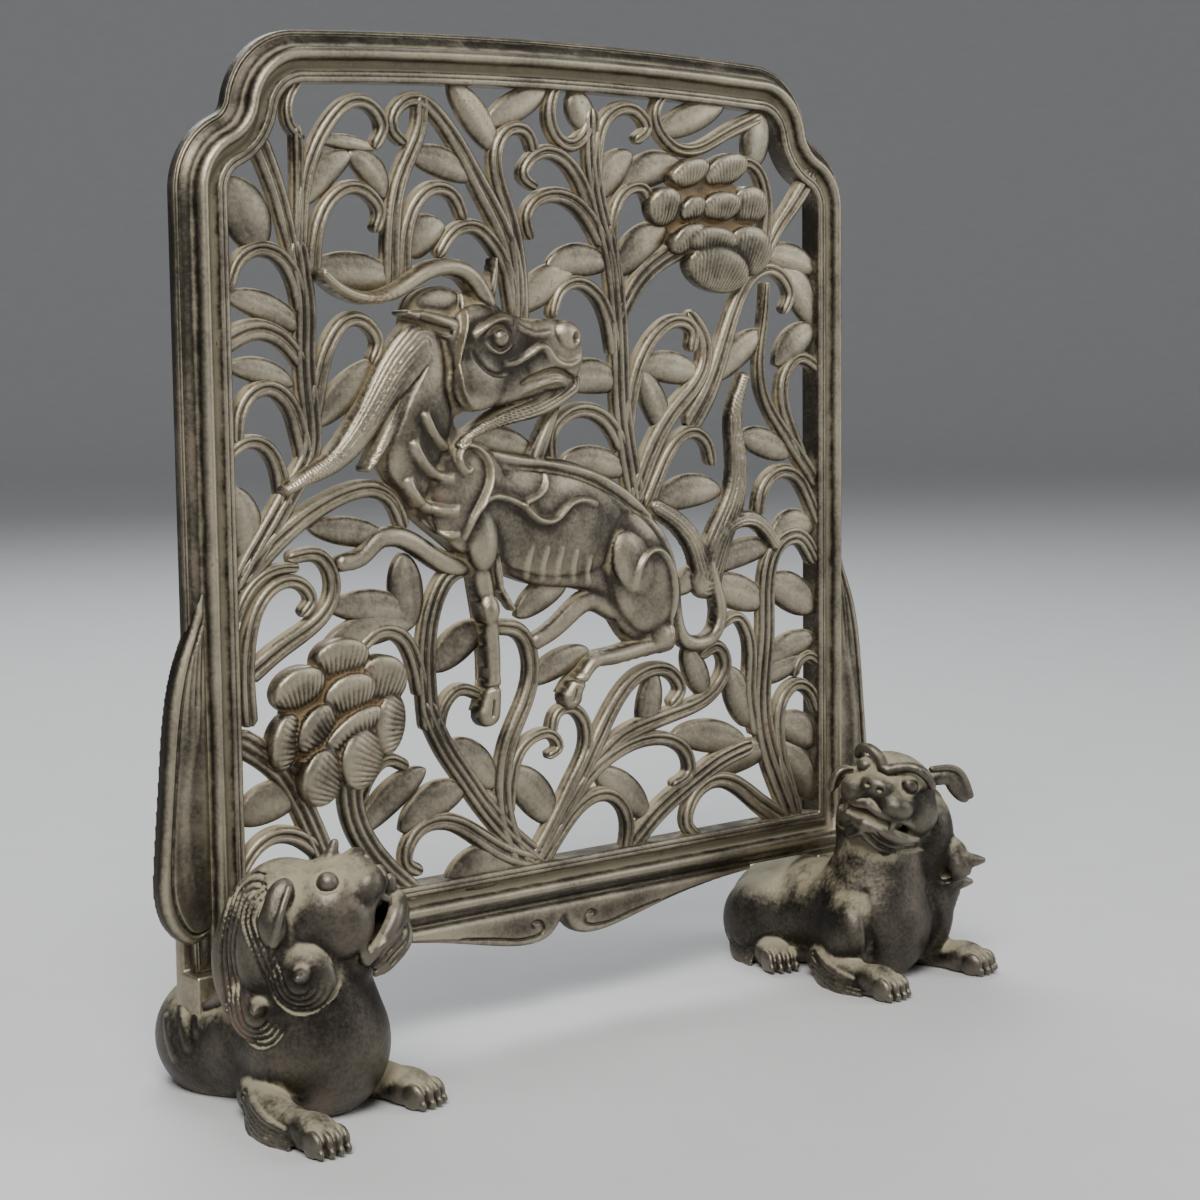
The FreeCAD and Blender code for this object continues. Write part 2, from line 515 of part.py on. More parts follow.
def make_frame():
    """The moulded border, its section swept round the lip of the window."""
    depth, width = size("frame_depth"), size("frame_width")
    cove = size("cove_depth")
    bead, bead_half = size("bead_middle"), size("bead_radius")
    flank_top = width - size("flank_run")

    def section(outward, forward):
        return Vector(0, -forward, -outward)

    corners = [
        section(0, -depth),
        section(0, 0),
        section(size("lip_width"), 0),
        section(size("lip_width") + size("cove_run"), -cove),
    ]
    chord_count = round(size("bead_chords"))
    for chord in range(chord_count + 1):
        angle = math.pi * chord / chord_count
        rise = (cove + size("bead_rise")) * math.sin(angle) - cove
        corners.append(section(bead - bead_half * math.cos(angle), rise))
    flank_start = section(flank_top, -cove)
    flank_end = section(width, -size("flank_drop"))
    hollow = (flank_start + flank_end) / 2 + section(-1, -1) * (size("flank_run") / 8)
    corners += [flank_start, hollow, flank_end, section(width, -depth)]
    edges = [Part.LineSegment(a, b).toShape() for a, b in zip(corners, corners[1:] + corners[:1])]
    profile = feature("frame_section", Part.Wire(edges), screen_place)
    path = feature("frame_path", window, screen_place)
    sweep = doc.addObject("Part::Sweep", "frame")
    sweep.Sections = [profile]
    sweep.Spine = (path, [f"Edge{number + 1}" for number in range(len(window.Edges))])
    sweep.Solid = True
    sweep.Frenet = False
    sweep.Transition = "Right corner"
    return sweep


def make_panel(beast_faces, blossom_faces):
    """The pierced scrolls, cut to the window, with a thin backing in the places of the beast and blossoms."""
    scrolls = merged([ribbon(*stem) for stem in STEMS] + [leaf(*blade) for blade in LEAVES])
    seats = Part.Compound(beast_faces + blossom_faces)
    outline = Part.Compound(scrolls).common(Part.Face(window)).cut(seats)
    islands = [face for face in outline.Faces if face.Area > SMALLEST_ISLAND]
    place = Placement(screen_place)
    place.move(Vector(0, size("scroll_setback"), 0))
    base = feature("scroll_outline", Part.Compound(islands), place)
    pierced = extrusion("pierced_scrolls", base, "sizes.scroll_thickness")
    place.move(Vector(0, size("scroll_thickness") - size("backing_thickness"), 0))
    seat_base = feature("seat_outline", seats, place)
    backing = extrusion("seat_backing", seat_base, "sizes.backing_thickness")
    return union("scroll_panel", [pierced, backing])


def make_beast(faces):
    """The horned beast, standing proud of the scrolls, with its head, neck, body and haunch swelling out."""
    front = size("scroll_setback") - size("beast_rise")
    place = Placement(screen_place)
    place.move(Vector(0, front, 0))
    base = feature("beast_outline", Part.Compound(faces), place)
    blank = extrusion(
        "beast_blank", base, "sizes.beast_rise + sizes.scroll_thickness - sizes.backing_thickness"
    )
    root = f"({LIP_PLANE} + sizes.scroll_setback - sizes.beast_rise + sizes.relief_root)"
    swells = []
    for number, (x, z, half_length, half_height, tilt, rise) in enumerate(BEAST_FORMS):
        at = screen_place.multVec(drawn(x, z) + Vector(0, front + size("relief_root"), 0))
        lengths = (2 * half_length, 2 * (rise + size("relief_root")), 2 * half_height)
        swells.append(ball(f"beast_swell_{number}", lengths, at, Rotation(Vector(0, 1, 0), -tilt)))
    behind = box(
        "behind_swells", "sizes.window_width", "sizes.window_width", "sizes.window_width * 2",
        "-sizes.window_width / 2", root, "0",
    )
    relief = difference("beast_relief", union("beast_swells", swells), behind)
    return union("beast", [blank, relief])


def make_blossom(label, petals):
    """A lotus blossom of oval petals, each row a step nearer the viewer."""
    solids = []
    for number, (x, z, half_length, half_width, tilt, steps) in enumerate(petals):
        place = Placement(screen_place)
        place.move(Vector(0, size("scroll_setback") - size("petal_step") * steps, 0))
        outline = petal(x, z, half_length, half_width, tilt)
        base = feature(f"{label}_petal_outline_{number}", outline, place)
        depth = f"sizes.scroll_thickness - sizes.backing_thickness + sizes.petal_step * {steps}"
        solids.append(extrusion(f"{label}_petal_{number}", base, depth))
    return union(label, solids)


def make_wing(label, side, frame):
    """A leaf-shaped flange that covers the outer flank of a stile and swells below."""
    edge = size("window_width") / 2 + size("frame_width")
    reach, drop = size("wing_reach"), size("wing_drop")
    tip = size("wing_height") - drop
    inside = edge - size("flank_run") - size("bead_radius")
    outer = [
        flat(side * (edge - size("flank_run")), tip),
        flat(side * (edge + reach * 0.3), tip * 0.78),
        flat(side * (edge + reach * 0.78), tip * 0.45),
        flat(side * (edge + reach), tip * 0.18),
        flat(side * (edge + reach * 0.75), -drop * 0.1),
        flat(side * (edge + reach * 0.1), -drop),
        flat(side * inside, -drop * 0.4),
    ]
    place = Placement(screen_place)
    place.move(Vector(0, size("wing_setback"), 0))
    base = feature(f"{label}_outline", polygon(chords(outer)), place)
    return difference(label, extrusion(f"{label}_blank", base, "sizes.wing_thickness"), frame)


def make_apron():
    """The shaped apron under the bottom rail, notched in the middle."""
    top = -size("frame_width")
    reach, drop, notch = size("apron_half_length"), size("apron_drop"), size("apron_notch")
    shift = size("apron_shift")
    half = [
        flat(reach, top - drop * 0.12),
        flat(reach * 0.6, top - drop * 0.44),
        flat(reach * 0.3, top - drop * 0.88),
        flat(reach * 0.15, top - drop),
        flat(reach * 0.06, top - drop + notch * 0.25),
        flat(0, top - drop + notch),
    ]
    edge = chords(half)
    right = [spot + flat(shift, 0) for spot in edge]
    left = [flat(shift - spot.x, spot.z) for spot in edge[-2::-1]]
    ends = [flat(shift - reach, top), flat(shift + reach, top)]
    place = Placement(screen_place)
    place.move(Vector(0, size("apron_setback"), 0))
    base = feature("apron_outline", polygon(right + left + ends), place)
    return extrusion("apron", base, "sizes.apron_thickness")


def make_rest(label, side):
    """The bracket on a lion's back: a ledge under the bottom rail and a plate behind the stile."""
    left_edge = f"{side} * sizes.rest_spacing / 2 - sizes.rest_width / 2"
    ledge_top = "(sizes.lip_height - sizes.frame_width)"
    plate_face = f"({LIP_PLANE} + sizes.frame_depth + sizes.slide_clearance)"
    ledge = box(
        f"{label}_ledge", "sizes.rest_width", "sizes.frame_depth + sizes.slide_clearance", "sizes.rest_seat",
        left_edge, LIP_PLANE, f"{ledge_top} - sizes.rest_seat",
    )
    plate = box(
        f"{label}_plate", "sizes.rest_width", "sizes.rest_plate", "sizes.rest_seat + sizes.rest_rise",
        left_edge, plate_face, f"{ledge_top} - sizes.rest_seat",
    )
    return union(label, [ledge, plate])


# Forms of a lion's head: place from the middle of the skull with the face towards -Y, and full lengths,
# all in shares of the skull's width, and how finely each is cut.
HEAD_FORMS = (
    ("skull", (0, 0, 0), (1, 0.96, 0.96), "body_flats"),
    ("crown", (0, 0.02, 0.17), (0.86, 0.8, 0.57), "detail_flats"),
    ("muzzle", (0, -0.38, 0.03), (0.8, 0.58, 0.46), "detail_flats"),
    ("nose", (0, -0.6, 0.14), (0.3, 0.22, 0.2), "small_flats"),
    ("brow", (0, -0.2, 0.4), (0.6, 0.5, 0.3), "detail_flats"),
    ("throat", (0, 0.21, -0.4), (0.62, 0.44, 0.48), "small_flats"),
)
# The lower jaw and the beard on it, which the left lion opens wide and the right one less, and the mouth
# between the jaws, which is cut out.
JAW_FORMS = {
    "left": (
        ("jaw", (0, -0.12, -0.51), (0.62, 0.74, 0.28), "detail_flats"),
        ("beard", (0, -0.06, -0.66), (0.54, 0.66, 0.34), "detail_flats"),
    ),
    "right": (
        ("jaw", (0, -0.12, -0.46), (0.72, 0.74, 0.26), "detail_flats"),
        ("beard", (0, -0.04, -0.58), (0.58, 0.66, 0.28), "detail_flats"),
    ),
}
MOUTHS = {
    "left": ("mouth", (0, -0.27, -0.31), (0.66, 0.84, 0.24), "detail_flats"),
    "right": ("mouth", (0, -0.28, -0.28), (0.72, 0.84, 0.22), "detail_flats"),
}
# Each head's turn towards the middle of the screen, its lift and the rise of its inner side, in degrees, its
# height as a share of the sheet's, and its middle, in millimetres towards the screen's middle, back from the
# lip plane, and up.
HEADS = {
    "left": {"turn": 65, "lift": 50, "roll": 0, "height": 1, "at": (2.5, -25, 42)},
    "right": {"turn": 68, "lift": 7, "roll": 18, "height": 0.95, "at": (-1.4, -25.8, 45.6)},
}
# How far each lion's rump, chest and mane lie inwards from its middle line; how far the rump's and the
# chest's middles stand up, and how far the chest and the mane begin in front of the lip plane.
RUMP_SHIFT = {"left": -1, "right": -3}
CHEST_SHIFT = {"left": 1, "right": -0.5}
MANE_SHIFT = {"left": -4, "right": -9}
RUMP_RISE = 10
CHEST_RISE = 15
CHEST_FRONT = 5
MANE_FRONT = 5.5
MANE_RISE = 35
# Forelegs: how far the shoulder and the paw lie inwards, and the size that sets the paw back.
SHOULDER_FRONT = 13
FORELEGS = {
    "left": (("outer", -11, -14.5, None), ("inner", 12, 17, "left_inner_paw_setback")),
    "right": (
        ("outer", -13, -18.6, "right_outer_paw_setback"), ("inner", 12, 14.4, "right_inner_paw_setback"),
    ),
}
# How far the paws' round undersides reach below the ground, where they are cut flat.
PAW_SINK = 0.3
# Hind paws that show beside the rump: how far each lies inwards.
HIND_PAW_FRONT = 3
HIND_PAWS = {"left": (("inner", 16),), "right": (("inner", 15.5), ("outer", -17))}
# The other forms of each lion, in millimetres: place inwards from its middle line, back from the lip plane,
# and up, full lengths, and how finely each is cut.
LION_FORMS = {
    "left": (
        ("trunk", (0, -6, 13), (31, 30, 26), "detail_flats"),
        ("neck", (0, -21, 27), (23, 22, 24), "detail_flats"),
        ("lock", (-12.6, -12.6, 33), (9.4, 9.4, 26), "detail_flats"),
        ("lower_curl", (-12, -18.4, 22.4), (10, 14.4, 15), "detail_flats"),
        ("lower_knob", (-16.6, -22, 23.3), (4.4, 4.4, 4.4), "small_flats"),
        ("upper_curl", (-7, -27.4, 31.2), (10, 12.6, 13.6), "detail_flats"),
        ("upper_knob", (-11, -32, 31.6), (4.4, 4.4, 4.4), "small_flats"),
        ("outer_ear", (-12.4, -26, 44.4), (6.4, 6, 12.6), "small_flats"),
        ("inner_ear", (8.6, -16.5, 43.5), (6.8, 6, 11), "small_flats"),
        ("outer_elbow", (-16.8, -28, 3.4), (6.4, 24, 7), "small_flats"),
        ("inner_elbow", (18.4, -21, 3.6), (6, 16, 7), "small_flats"),
        ("inner_haunch", (12, 7, 9), (14, 26, 22), "detail_flats"),
    ),
    "right": (
        ("trunk", (-1, -6, 13), (31, 30, 26), "detail_flats"),
        ("neck", (-3, -21, 27), (23, 22, 24), "detail_flats"),
        ("lock", (-14, -24, 33), (15.4, 17, 27), "detail_flats"),
        ("lower_curl", (-17, -25, 24), (9.6, 11, 15), "detail_flats"),
        ("lower_knob", (-19.6, -28.6, 21.8), (4.4, 4.4, 4.4), "small_flats"),
        ("upper_curl", (-16.8, -30.6, 28.4), (9.2, 10.4, 11.4), "detail_flats"),
        ("upper_knob", (-19.6, -34.6, 27.6), (4.4, 4.4, 4.4), "small_flats"),
        ("outer_ear", (-15, -30, 46.6), (13, 6.4, 7.4), "small_flats"),
        ("inner_ear", (6.4, -18.2, 49), (7, 6, 7), "small_flats"),
        ("outer_elbow", (-19.6, -23.5, 3.6), (6, 16, 7), "small_flats"),
        ("inner_elbow", (17, -25.6, 3.6), (6.4, 20, 7), "small_flats"),
        ("outer_shoulder", (-14, -26, 15), (12.8, 14, 24), "detail_flats"),
        ("inner_haunch", (10.6, 7, 9), (14, 26, 23), "detail_flats"),
        ("outer_haunch", (-13.6, 7, 9), (14, 26, 22), "detail_flats"),
    ),
}


def make_lion(label, name, side):
    """A crouching lion with its forelegs out in front and its head turned in towards the screen's middle."""
    inward = -side
    forms = []

    def add(form, lengths, at, turn=Rotation(), flats="body_flats"):
        """A form of the lion, placed inwards from its middle line, back from the lip plane, and up."""
        x = side * size("lion_spacing") / 2 + inward * at[0]
        forms.append(ball(f"{label}_{form}", lengths, (x, screen_place.Base.y + at[1], at[2]), turn, flats))

    rump = (size("rump_width"), size("rump_length"), 2 * (size("rump_height") - RUMP_RISE))
    chest = (size("chest_width"), size("chest_length"), 2 * (size("chest_height") - CHEST_RISE))
    mane = (size("mane_width"), size("mane_length"), size("mane_height"))
    add("rump", rump, (RUMP_SHIFT[name], size("rump_reach") - rump[1] / 2, RUMP_RISE))
    add("chest", chest, (CHEST_SHIFT[name], -CHEST_FRONT - chest[1] / 2, CHEST_RISE))
    add("mane", mane, (MANE_SHIFT[name], -MANE_FRONT - mane[1] / 2, MANE_RISE))
    for form, at, lengths, flats in LION_FORMS[name]:
        add(form, lengths, at, flats=flats)

    head = HEADS[name]
    turn = Rotation(inward * head["turn"], -inward * head["roll"], -head["lift"])
    scale = (size("skull_width"), size("skull_width"), size("skull_width") * head["height"])
    for form, place, lengths, flats in HEAD_FORMS + JAW_FORMS[name] + (MOUTHS[name],):
        spot = turn.multVec(Vector(place[0] * inward * scale[0], place[1] * scale[1], place[2] * scale[2]))
        at = (head["at"][0] + inward * spot.x, head["at"][1] + spot.y, head["at"][2] + spot.z)
        add(form, [length * unit for length, unit in zip(lengths, scale)], at, turn, flats)
    mouth = forms.pop()

    paw_width, paw_length, paw_height = size("paw_width"), size("paw_length"), size("paw_height")
    for place, shoulder, offset, setback in FORELEGS[name]:
        front = (size(setback) if setback else 0) - size("paw_reach")
        back = -SHOULDER_FRONT
        run, slant = back - front, offset - shoulder
        leg = (paw_width, math.hypot(run, slant), paw_height)
        way = Rotation(Vector(0, 0, 1), math.degrees(math.atan2(inward * slant, run)))
        middle = ((shoulder + offset) / 2, (front + back) / 2, paw_height / 2)
        add(f"{place}_leg", leg, middle, way, "detail_flats")
        paw = (paw_width, paw_length, paw_height)
        add(f"{place}_paw", paw, (offset, front + paw_length / 2, paw_height / 2 - PAW_SINK), flats="detail_flats")
    for place, offset in HIND_PAWS[name]:
        hind_paw = (paw_width, size("hind_paw_length"), size("hind_paw_height"))
        middle = (offset, -HIND_PAW_FRONT, hind_paw[2] / 2 - PAW_SINK)
        add(f"{place}_hind_paw", hind_paw, middle, flats="detail_flats")

    whole = union(f"{label}_forms", forms)
    reach = "2 * sizes.paw_reach"
    start_x = f"{side} * sizes.lion_spacing / 2 - sizes.paw_reach"
    ground = box(
        f"{label}_ground", reach, "4 * sizes.paw_reach", reach,
        start_x, "-2 * sizes.paw_reach", f"-({reach})",
    )
    slot = box(
        f"{label}_slot", reach,
        "sizes.bead_rise + sizes.frame_depth + 2 * sizes.slide_clearance", reach,
        start_x, f"{LIP_PLANE} - sizes.bead_rise - sizes.slide_clearance",
        "sizes.lip_height - sizes.frame_width - sizes.slide_clearance",
    )
    return whole, [ground, slot, mouth]


def beast_outline():
    """The flat faces of the beast: its body, and the limbs and tufts that grow out of it."""
    body = chords([drawn(x, z) for x, z in BEAST_BODY], closed=True)
    faces = [polygon(body[:-1])]
    faces += [ribbon(*limb) for limb in BEAST_LIMBS]
    faces += [leaf(*blade) for blade in BEAST_LEAVES]
    return merged(faces)


beast_faces = beast_outline()
blossom_faces = merged([petal(*spec[:5]) for spec in LOWER_PETALS])
blossom_faces += merged([petal(*spec[:5]) for spec in UPPER_PETALS])

frame = make_frame()
nodes = [
    frame,
    make_panel(beast_faces, blossom_faces),
    make_beast(beast_faces),
    make_blossom("blossom_lower", LOWER_PETALS),
    make_blossom("blossom_upper", UPPER_PETALS),
    make_wing("wing_left", -1, frame),
    make_wing("wing_right", 1, frame),
    make_apron(),
]
for name, side in (("left", -1), ("right", 1)):
    rest = make_rest(f"rest_{name}", side)
    whole, cuts = make_lion(f"lion_{name}", name, side)
    tools = union(f"lion_{name}_cuts", cuts)
    on_ground = difference(f"lion_{name}_cut", whole, tools)
    lion = difference(f"lion_{name}", on_ground, rest)
    nodes += [rest, lion]

doc.recompute()
for thing in doc.Objects:
    if "Invalid" in thing.State or "Error" in thing.State:
        raise RuntimeError(f"{thing.Label} failed: {thing.State}")
for node in nodes:
    if node.Shape.isNull() or not node.Shape.isValid() or not node.Shape.Solids:
        raise RuntimeError(f"{node.Label} has no valid solid")

os.makedirs("parts", exist_ok=True)
for node in nodes:
    node.Shape.exportStep(f"parts/{node.Label}.step")
    print(node.Label, len(node.Shape.Solids), "solids", round(node.Shape.Volume), "mm3")
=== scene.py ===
"""Looks for the bronze desk screen: carved scrolls, beast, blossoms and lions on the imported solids,
with a studio floor, soft lights and the camera.

Shapes are worked out in millimetres in the screen's own plane: x to the right of its middle, y back from
the face of the bottom rail's lip, z up from that lip. Pieces are placed in metres.
"""

import math

import bpy
import numpy as np
import openvdb
from mathutils import Matrix, Vector


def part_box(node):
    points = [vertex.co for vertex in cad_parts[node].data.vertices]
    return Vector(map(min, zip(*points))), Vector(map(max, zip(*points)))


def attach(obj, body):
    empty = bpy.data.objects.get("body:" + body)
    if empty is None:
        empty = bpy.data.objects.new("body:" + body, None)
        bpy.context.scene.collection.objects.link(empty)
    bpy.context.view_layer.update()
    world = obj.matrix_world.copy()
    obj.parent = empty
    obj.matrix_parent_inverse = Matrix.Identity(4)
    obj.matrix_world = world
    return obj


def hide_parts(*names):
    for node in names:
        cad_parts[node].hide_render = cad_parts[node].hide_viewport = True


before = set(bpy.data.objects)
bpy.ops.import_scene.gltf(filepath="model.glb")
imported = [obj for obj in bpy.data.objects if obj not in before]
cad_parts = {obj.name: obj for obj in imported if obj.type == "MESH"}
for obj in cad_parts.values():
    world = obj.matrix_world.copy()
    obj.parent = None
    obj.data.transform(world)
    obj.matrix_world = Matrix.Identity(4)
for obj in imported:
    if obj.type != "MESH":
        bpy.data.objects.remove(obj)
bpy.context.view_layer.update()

MM = 0.001
FAR = 50.0

# The window in which the scrolls below were drawn.
DRAWN_WIDTH = 168
DRAWN_HEIGHT = 175.76

# Scrolling stems, drawn from root to tip: width at the root, width at the tip, points of the middle line.
STEMS = (
    # Vine up the left side and its hooked arches
    (5, 4.5, (-83.5, 69), (-79, 76), (-74, 83), (-69, 90), (-65, 96), (-64.5, 105), (-65.3, 116), (-65, 128),
     (-66.5, 139)),
    (3.6, 2.6, (-66, 139), (-64.8, 152), (-62.5, 159), (-58, 166.3), (-51, 171), (-46, 169), (-44.5, 165.5),
     (-46, 162.3)),
    (3.6, 2.4, (-62.8, 133), (-61.5, 144), (-58.8, 149.3), (-53, 152.8), (-48, 151.3), (-45.6, 147.5),
     (-46.5, 144.6)),
    (3.2, 4.6, (-67.5, 137), (-69.6, 146), (-72, 153.5), (-75, 160.5)),
    (2.6, 2.2, (-66.8, 139), (-66.2, 152), (-66.2, 164)),
    (2.4, 1.8, (-65.5, 174.5), (-68.3, 169), (-67.8, 165.2), (-65.5, 163)),
    (4, 2.6, (-65.5, 126), (-67.2, 133), (-70.5, 137.8), (-76, 139.6), (-81, 137), (-83.3, 132.5)),
    (3.4, 4.6, (-65.5, 115), (-71, 121), (-77, 123), (-84.5, 120.5)),
    (4.4, 2.8, (-65, 94), (-67, 101.5), (-69.5, 107.5), (-74.5, 110.9), (-79.5, 109), (-82.3, 103),
     (-82.5, 101)),
    (4, 2.4, (-71, 85), (-72.4, 93.5), (-75.5, 98.5), (-79.5, 99.8), (-84.3, 97.5)),
    (4.4, 2.4, (-64, 103), (-61.8, 113), (-58.8, 120.5), (-53.5, 125), (-48.8, 123.5), (-46.8, 119.5),
     (-48, 116.6)),
    # Sprays over the beast's head
    (4.6, 3.2, (-42.8, 131), (-42.3, 146), (-40.5, 154), (-37, 161), (-34.8, 166), (-34.3, 171.5)),
    (4, 2.6, (-39.5, 132), (-38.8, 144), (-36, 150), (-31, 153.2), (-26.3, 152), (-23.8, 147.8)),
    (6, 2.4, (-8.8, 126), (-11.5, 142), (-17, 151.5), (-23, 160.5), (-29.5, 168.5), (-36, 172),
     (-41, 169.3), (-42, 165.5), (-39.8, 163.2)),
    (4.2, 2.6, (-9.5, 125), (-12, 136), (-15.5, 141.5), (-21, 145), (-26, 143.8), (-29.8, 139.5)),
    (5, 2.6, (-8, 122), (-8.6, 138), (-11.3, 149), (-14.3, 158), (-13.2, 164), (-9, 167), (-5.3, 166),
     (-3.8, 162.8)),
    # Vine right of the beast and its arches
    (5.5, 4, (26, 81), (23, 94), (21.3, 106), (21, 117), (20.3, 128), (18.6, 139), (15.5, 149), (13.6, 158),
     (13.3, 170)),
    (3.4, 2.8, (13.2, 170), (10.5, 165.5), (6.5, 163.8), (2.8, 165.8), (1.2, 169.5), (2.5, 176)),
    (4.4, 2.2, (13.5, 148), (10, 155.2), (5.5, 160.3), (0, 162), (-5, 159.7), (-6.6, 156.5), (-4, 154.5)),
    (4.6, 2.4, (16.5, 141.5), (12, 147.7), (6.5, 151.6), (0.5, 152.3), (-4, 150.3), (-6, 146.5),
     (-5.2, 143.6)),
    (4, 2.4, (19.8, 116), (17.6, 125), (13.5, 130.8), (8, 132.8), (3.5, 130.8), (1.3, 126)),
    (4.2, 2.6, (22, 94), (17.5, 100.5), (11, 103.6), (5, 102.7), (1, 99), (0.6, 93)),
    (3.8, 2.6, (14, 153), (14.8, 163), (17.3, 169.7), (22.5, 172.7), (27.5, 171.7), (29.8, 168.3),
     (27.3, 166)),
    (3.6, 2.6, (20.3, 131), (18.9, 142), (20, 149.5), (24, 154.2), (28.8, 154.4), (31, 150.5)),
    (4, 5, (21, 124), (26, 132), (32, 137), (40, 141)),
    (4.2, 2.8, (23, 97), (24.8, 108), (28.3, 116.3), (33.5, 121.8), (39.5, 123.8), (43.8, 121.6),
     (43.5, 118)),
    (5, 3.6, (25, 82), (31.5, 95), (38, 103), (44, 108.3), (47.4, 114), (47, 120), (43.5, 124.5)),
    # Arches round the upper blossom and down the right side
    (3.6, 2.4, (66, 172.5), (53, 167.4), (46, 164.3), (39.5, 164), (34.5, 167), (32.4, 171), (34.5, 176)),
    (4, 2.4, (66.3, 135), (67.8, 147), (67.3, 155.5), (63.8, 160.7), (59.3, 161.3), (56.8, 158.8)),
    (3, 4.6, (66.5, 137), (71, 145.3), (75.5, 150.3), (82, 158)),
    (6, 2.4, (42.5, 98.5), (48, 106), (54, 119), (58, 128), (62.5, 134), (68.5, 136.2), (74, 133.5),
     (75.6, 130), (74, 126.5)),
    (4.4, 1.2, (85, 83), (78, 91), (71.5, 98.5), (66.5, 106), (65.3, 114), (66.6, 123), (67.4, 132.5)),
    (4.2, 2.8, (80, 89), (75.5, 97.5), (73, 105), (74.2, 110.8), (78.3, 114.4), (84.8, 112)),
    (4, 2.6, (29, 80), (34, 90), (38.5, 95.6), (43.5, 97.4), (47.8, 95), (49.4, 90.5)),
    # Scrolls round the lower blossom
    (5, 3.2, (-82, 71), (-73, 79), (-64, 84.6), (-55, 88), (-48.5, 88.4), (-44, 86), (-41.5, 81)),
    (4.4, 2.8, (-81, 50.5), (-73, 55.8), (-65.5, 59.8), (-60.3, 65), (-59.8, 70.5), (-63, 74.8), (-69.5, 75)),
    (4, 2.4, (-81, 40), (-81.6, 52), (-80.3, 60.5), (-77, 67), (-71.5, 70), (-66.8, 68.5), (-65.3, 65.5),
     (-67, 63.3)),
    (2.6, 2, (-84.3, 62), (-79.8, 69.7), (-74, 72.7), (-69.5, 72.8)),
    (4.2, 2.8, (-36.5, 42), (-39, 51), (-42.5, 56), (-47.5, 57.2), (-53, 54)),
    (5, 4, (-34.5, 34), (-35.5, 44), (-35.3, 54), (-33.3, 62), (-28.5, 68.5), (-24, 70)),
    (5.5, 5, (-84.5, 37.5), (-78, 33.5), (-71.5, 27), (-68, 20), (-64, 11), (-60, -1)),
    (4, 3, (-63.5, 10), (-69, 14.3), (-75.5, 16), (-81, 13.5), (-84.5, 9)),
    (6, 4.6, (-55.5, 30), (-55.8, 19), (-53, 12), (-48.5, 6), (-41, -1)),
    (3.4, 2.6, (-54, 20), (-51, 26), (-46.5, 28.8), (-42.5, 27.3)),
    # Fan of stems from the middle of the bottom rail
    (5, 2.8, (-4, -0.6), (-15, 3.8), (-24, 9.7), (-31, 13), (-37, 12.7), (-41.2, 9), (-41.8, 5),
     (-39.3, 3.2)),
    (4.6, 4.6, (-3, -0.6), (-13, 7.5), (-20, 15), (-26, 23), (-31, 30), (-35, 38)),
    (5, 3.4, (-9, -0.6), (-14.3, 12), (-14.8, 20), (-13, 28.5), (-9.3, 35.5), (-6.5, 42), (-6.5, 49),
     (-9.5, 54), (-15, 55.5)),
    (3.6, 2, (-13.3, 12), (-12.3, 21), (-9.3, 27), (-4.5, 29.6), (0, 28.8), (1.3, 26), (-1, 24.6)),
    (4, 2.4, (-7, -0.6), (0.5, 10), (6, 18.5), (9.6, 25), (9.3, 31), (5.3, 34.8), (1, 34), (-0.5, 30.5)),
    (5.4, 2.8, (-3, 3), (8, 18.5), (13.5, 27), (18.8, 34.7), (25, 40), (32, 41.4), (37.5, 39), (39, 35.5),
     (36.8, 33)),
    (4, 2.8, (-1, 5), (11, 18.5), (20, 23.2), (29, 24.8), (36.5, 23.5), (41.3, 19.3), (41.6, 15),
     (37.5, 12.8)),
    (4.4, 3.2, (11, 19.5), (20, 26), (29, 28.6), (38, 30.3), (46.5, 32.4), (52, 36.5), (53.6, 41.5),
     (50.8, 45), (46.8, 44)),
    (4.2, 2.6, (-4, -0.6), (3.5, 8), (9.5, 12.4), (15.5, 13.2), (20.3, 10.3), (22.2, 5.5), (21.3, -0.6)),
    (5, 4.4, (23, -0.6), (31, 6.3), (38, 10.5), (45, 14), (52, 17), (60, 19)),
    # Fan of stems from the right end of the bottom rail
    (5, 2.8, (73, -0.6), (65, 4.6), (57.5, 10), (51, 12.2), (45.5, 10.8), (41.8, 7), (41, 2.5), (43.8, -0.6)),
    (6.2, 4, (77, -0.6), (72, 9), (68, 18), (66, 27), (66.2, 37), (67.3, 47), (67.4, 57), (69, 65),
     (73, 69.6), (78.5, 70.2), (83.3, 65)),
    (4, 2.4, (64.5, 22), (61.8, 33), (62.2, 41), (61.3, 47.3), (57.5, 51.7), (52, 50)),
    (4.4, 2.8, (78, -0.6), (73, 13), (71.3, 22), (72.8, 29.7), (77.3, 33), (82, 31.3), (84.8, 26.5)),
    (3.6, 3, (65, 76), (67, 83.5), (72, 86.6), (77.5, 85.3), (81.3, 80.8), (84.8, 74)),
    (2.6, 2.4, (77, 35), (78.5, 38.6), (81.5, 40), (84.8, 38.3)),
    (3.4, 2.4, (-32.5, 32), (-31, 39), (-27.3, 42.2), (-21, 40.5)),
)

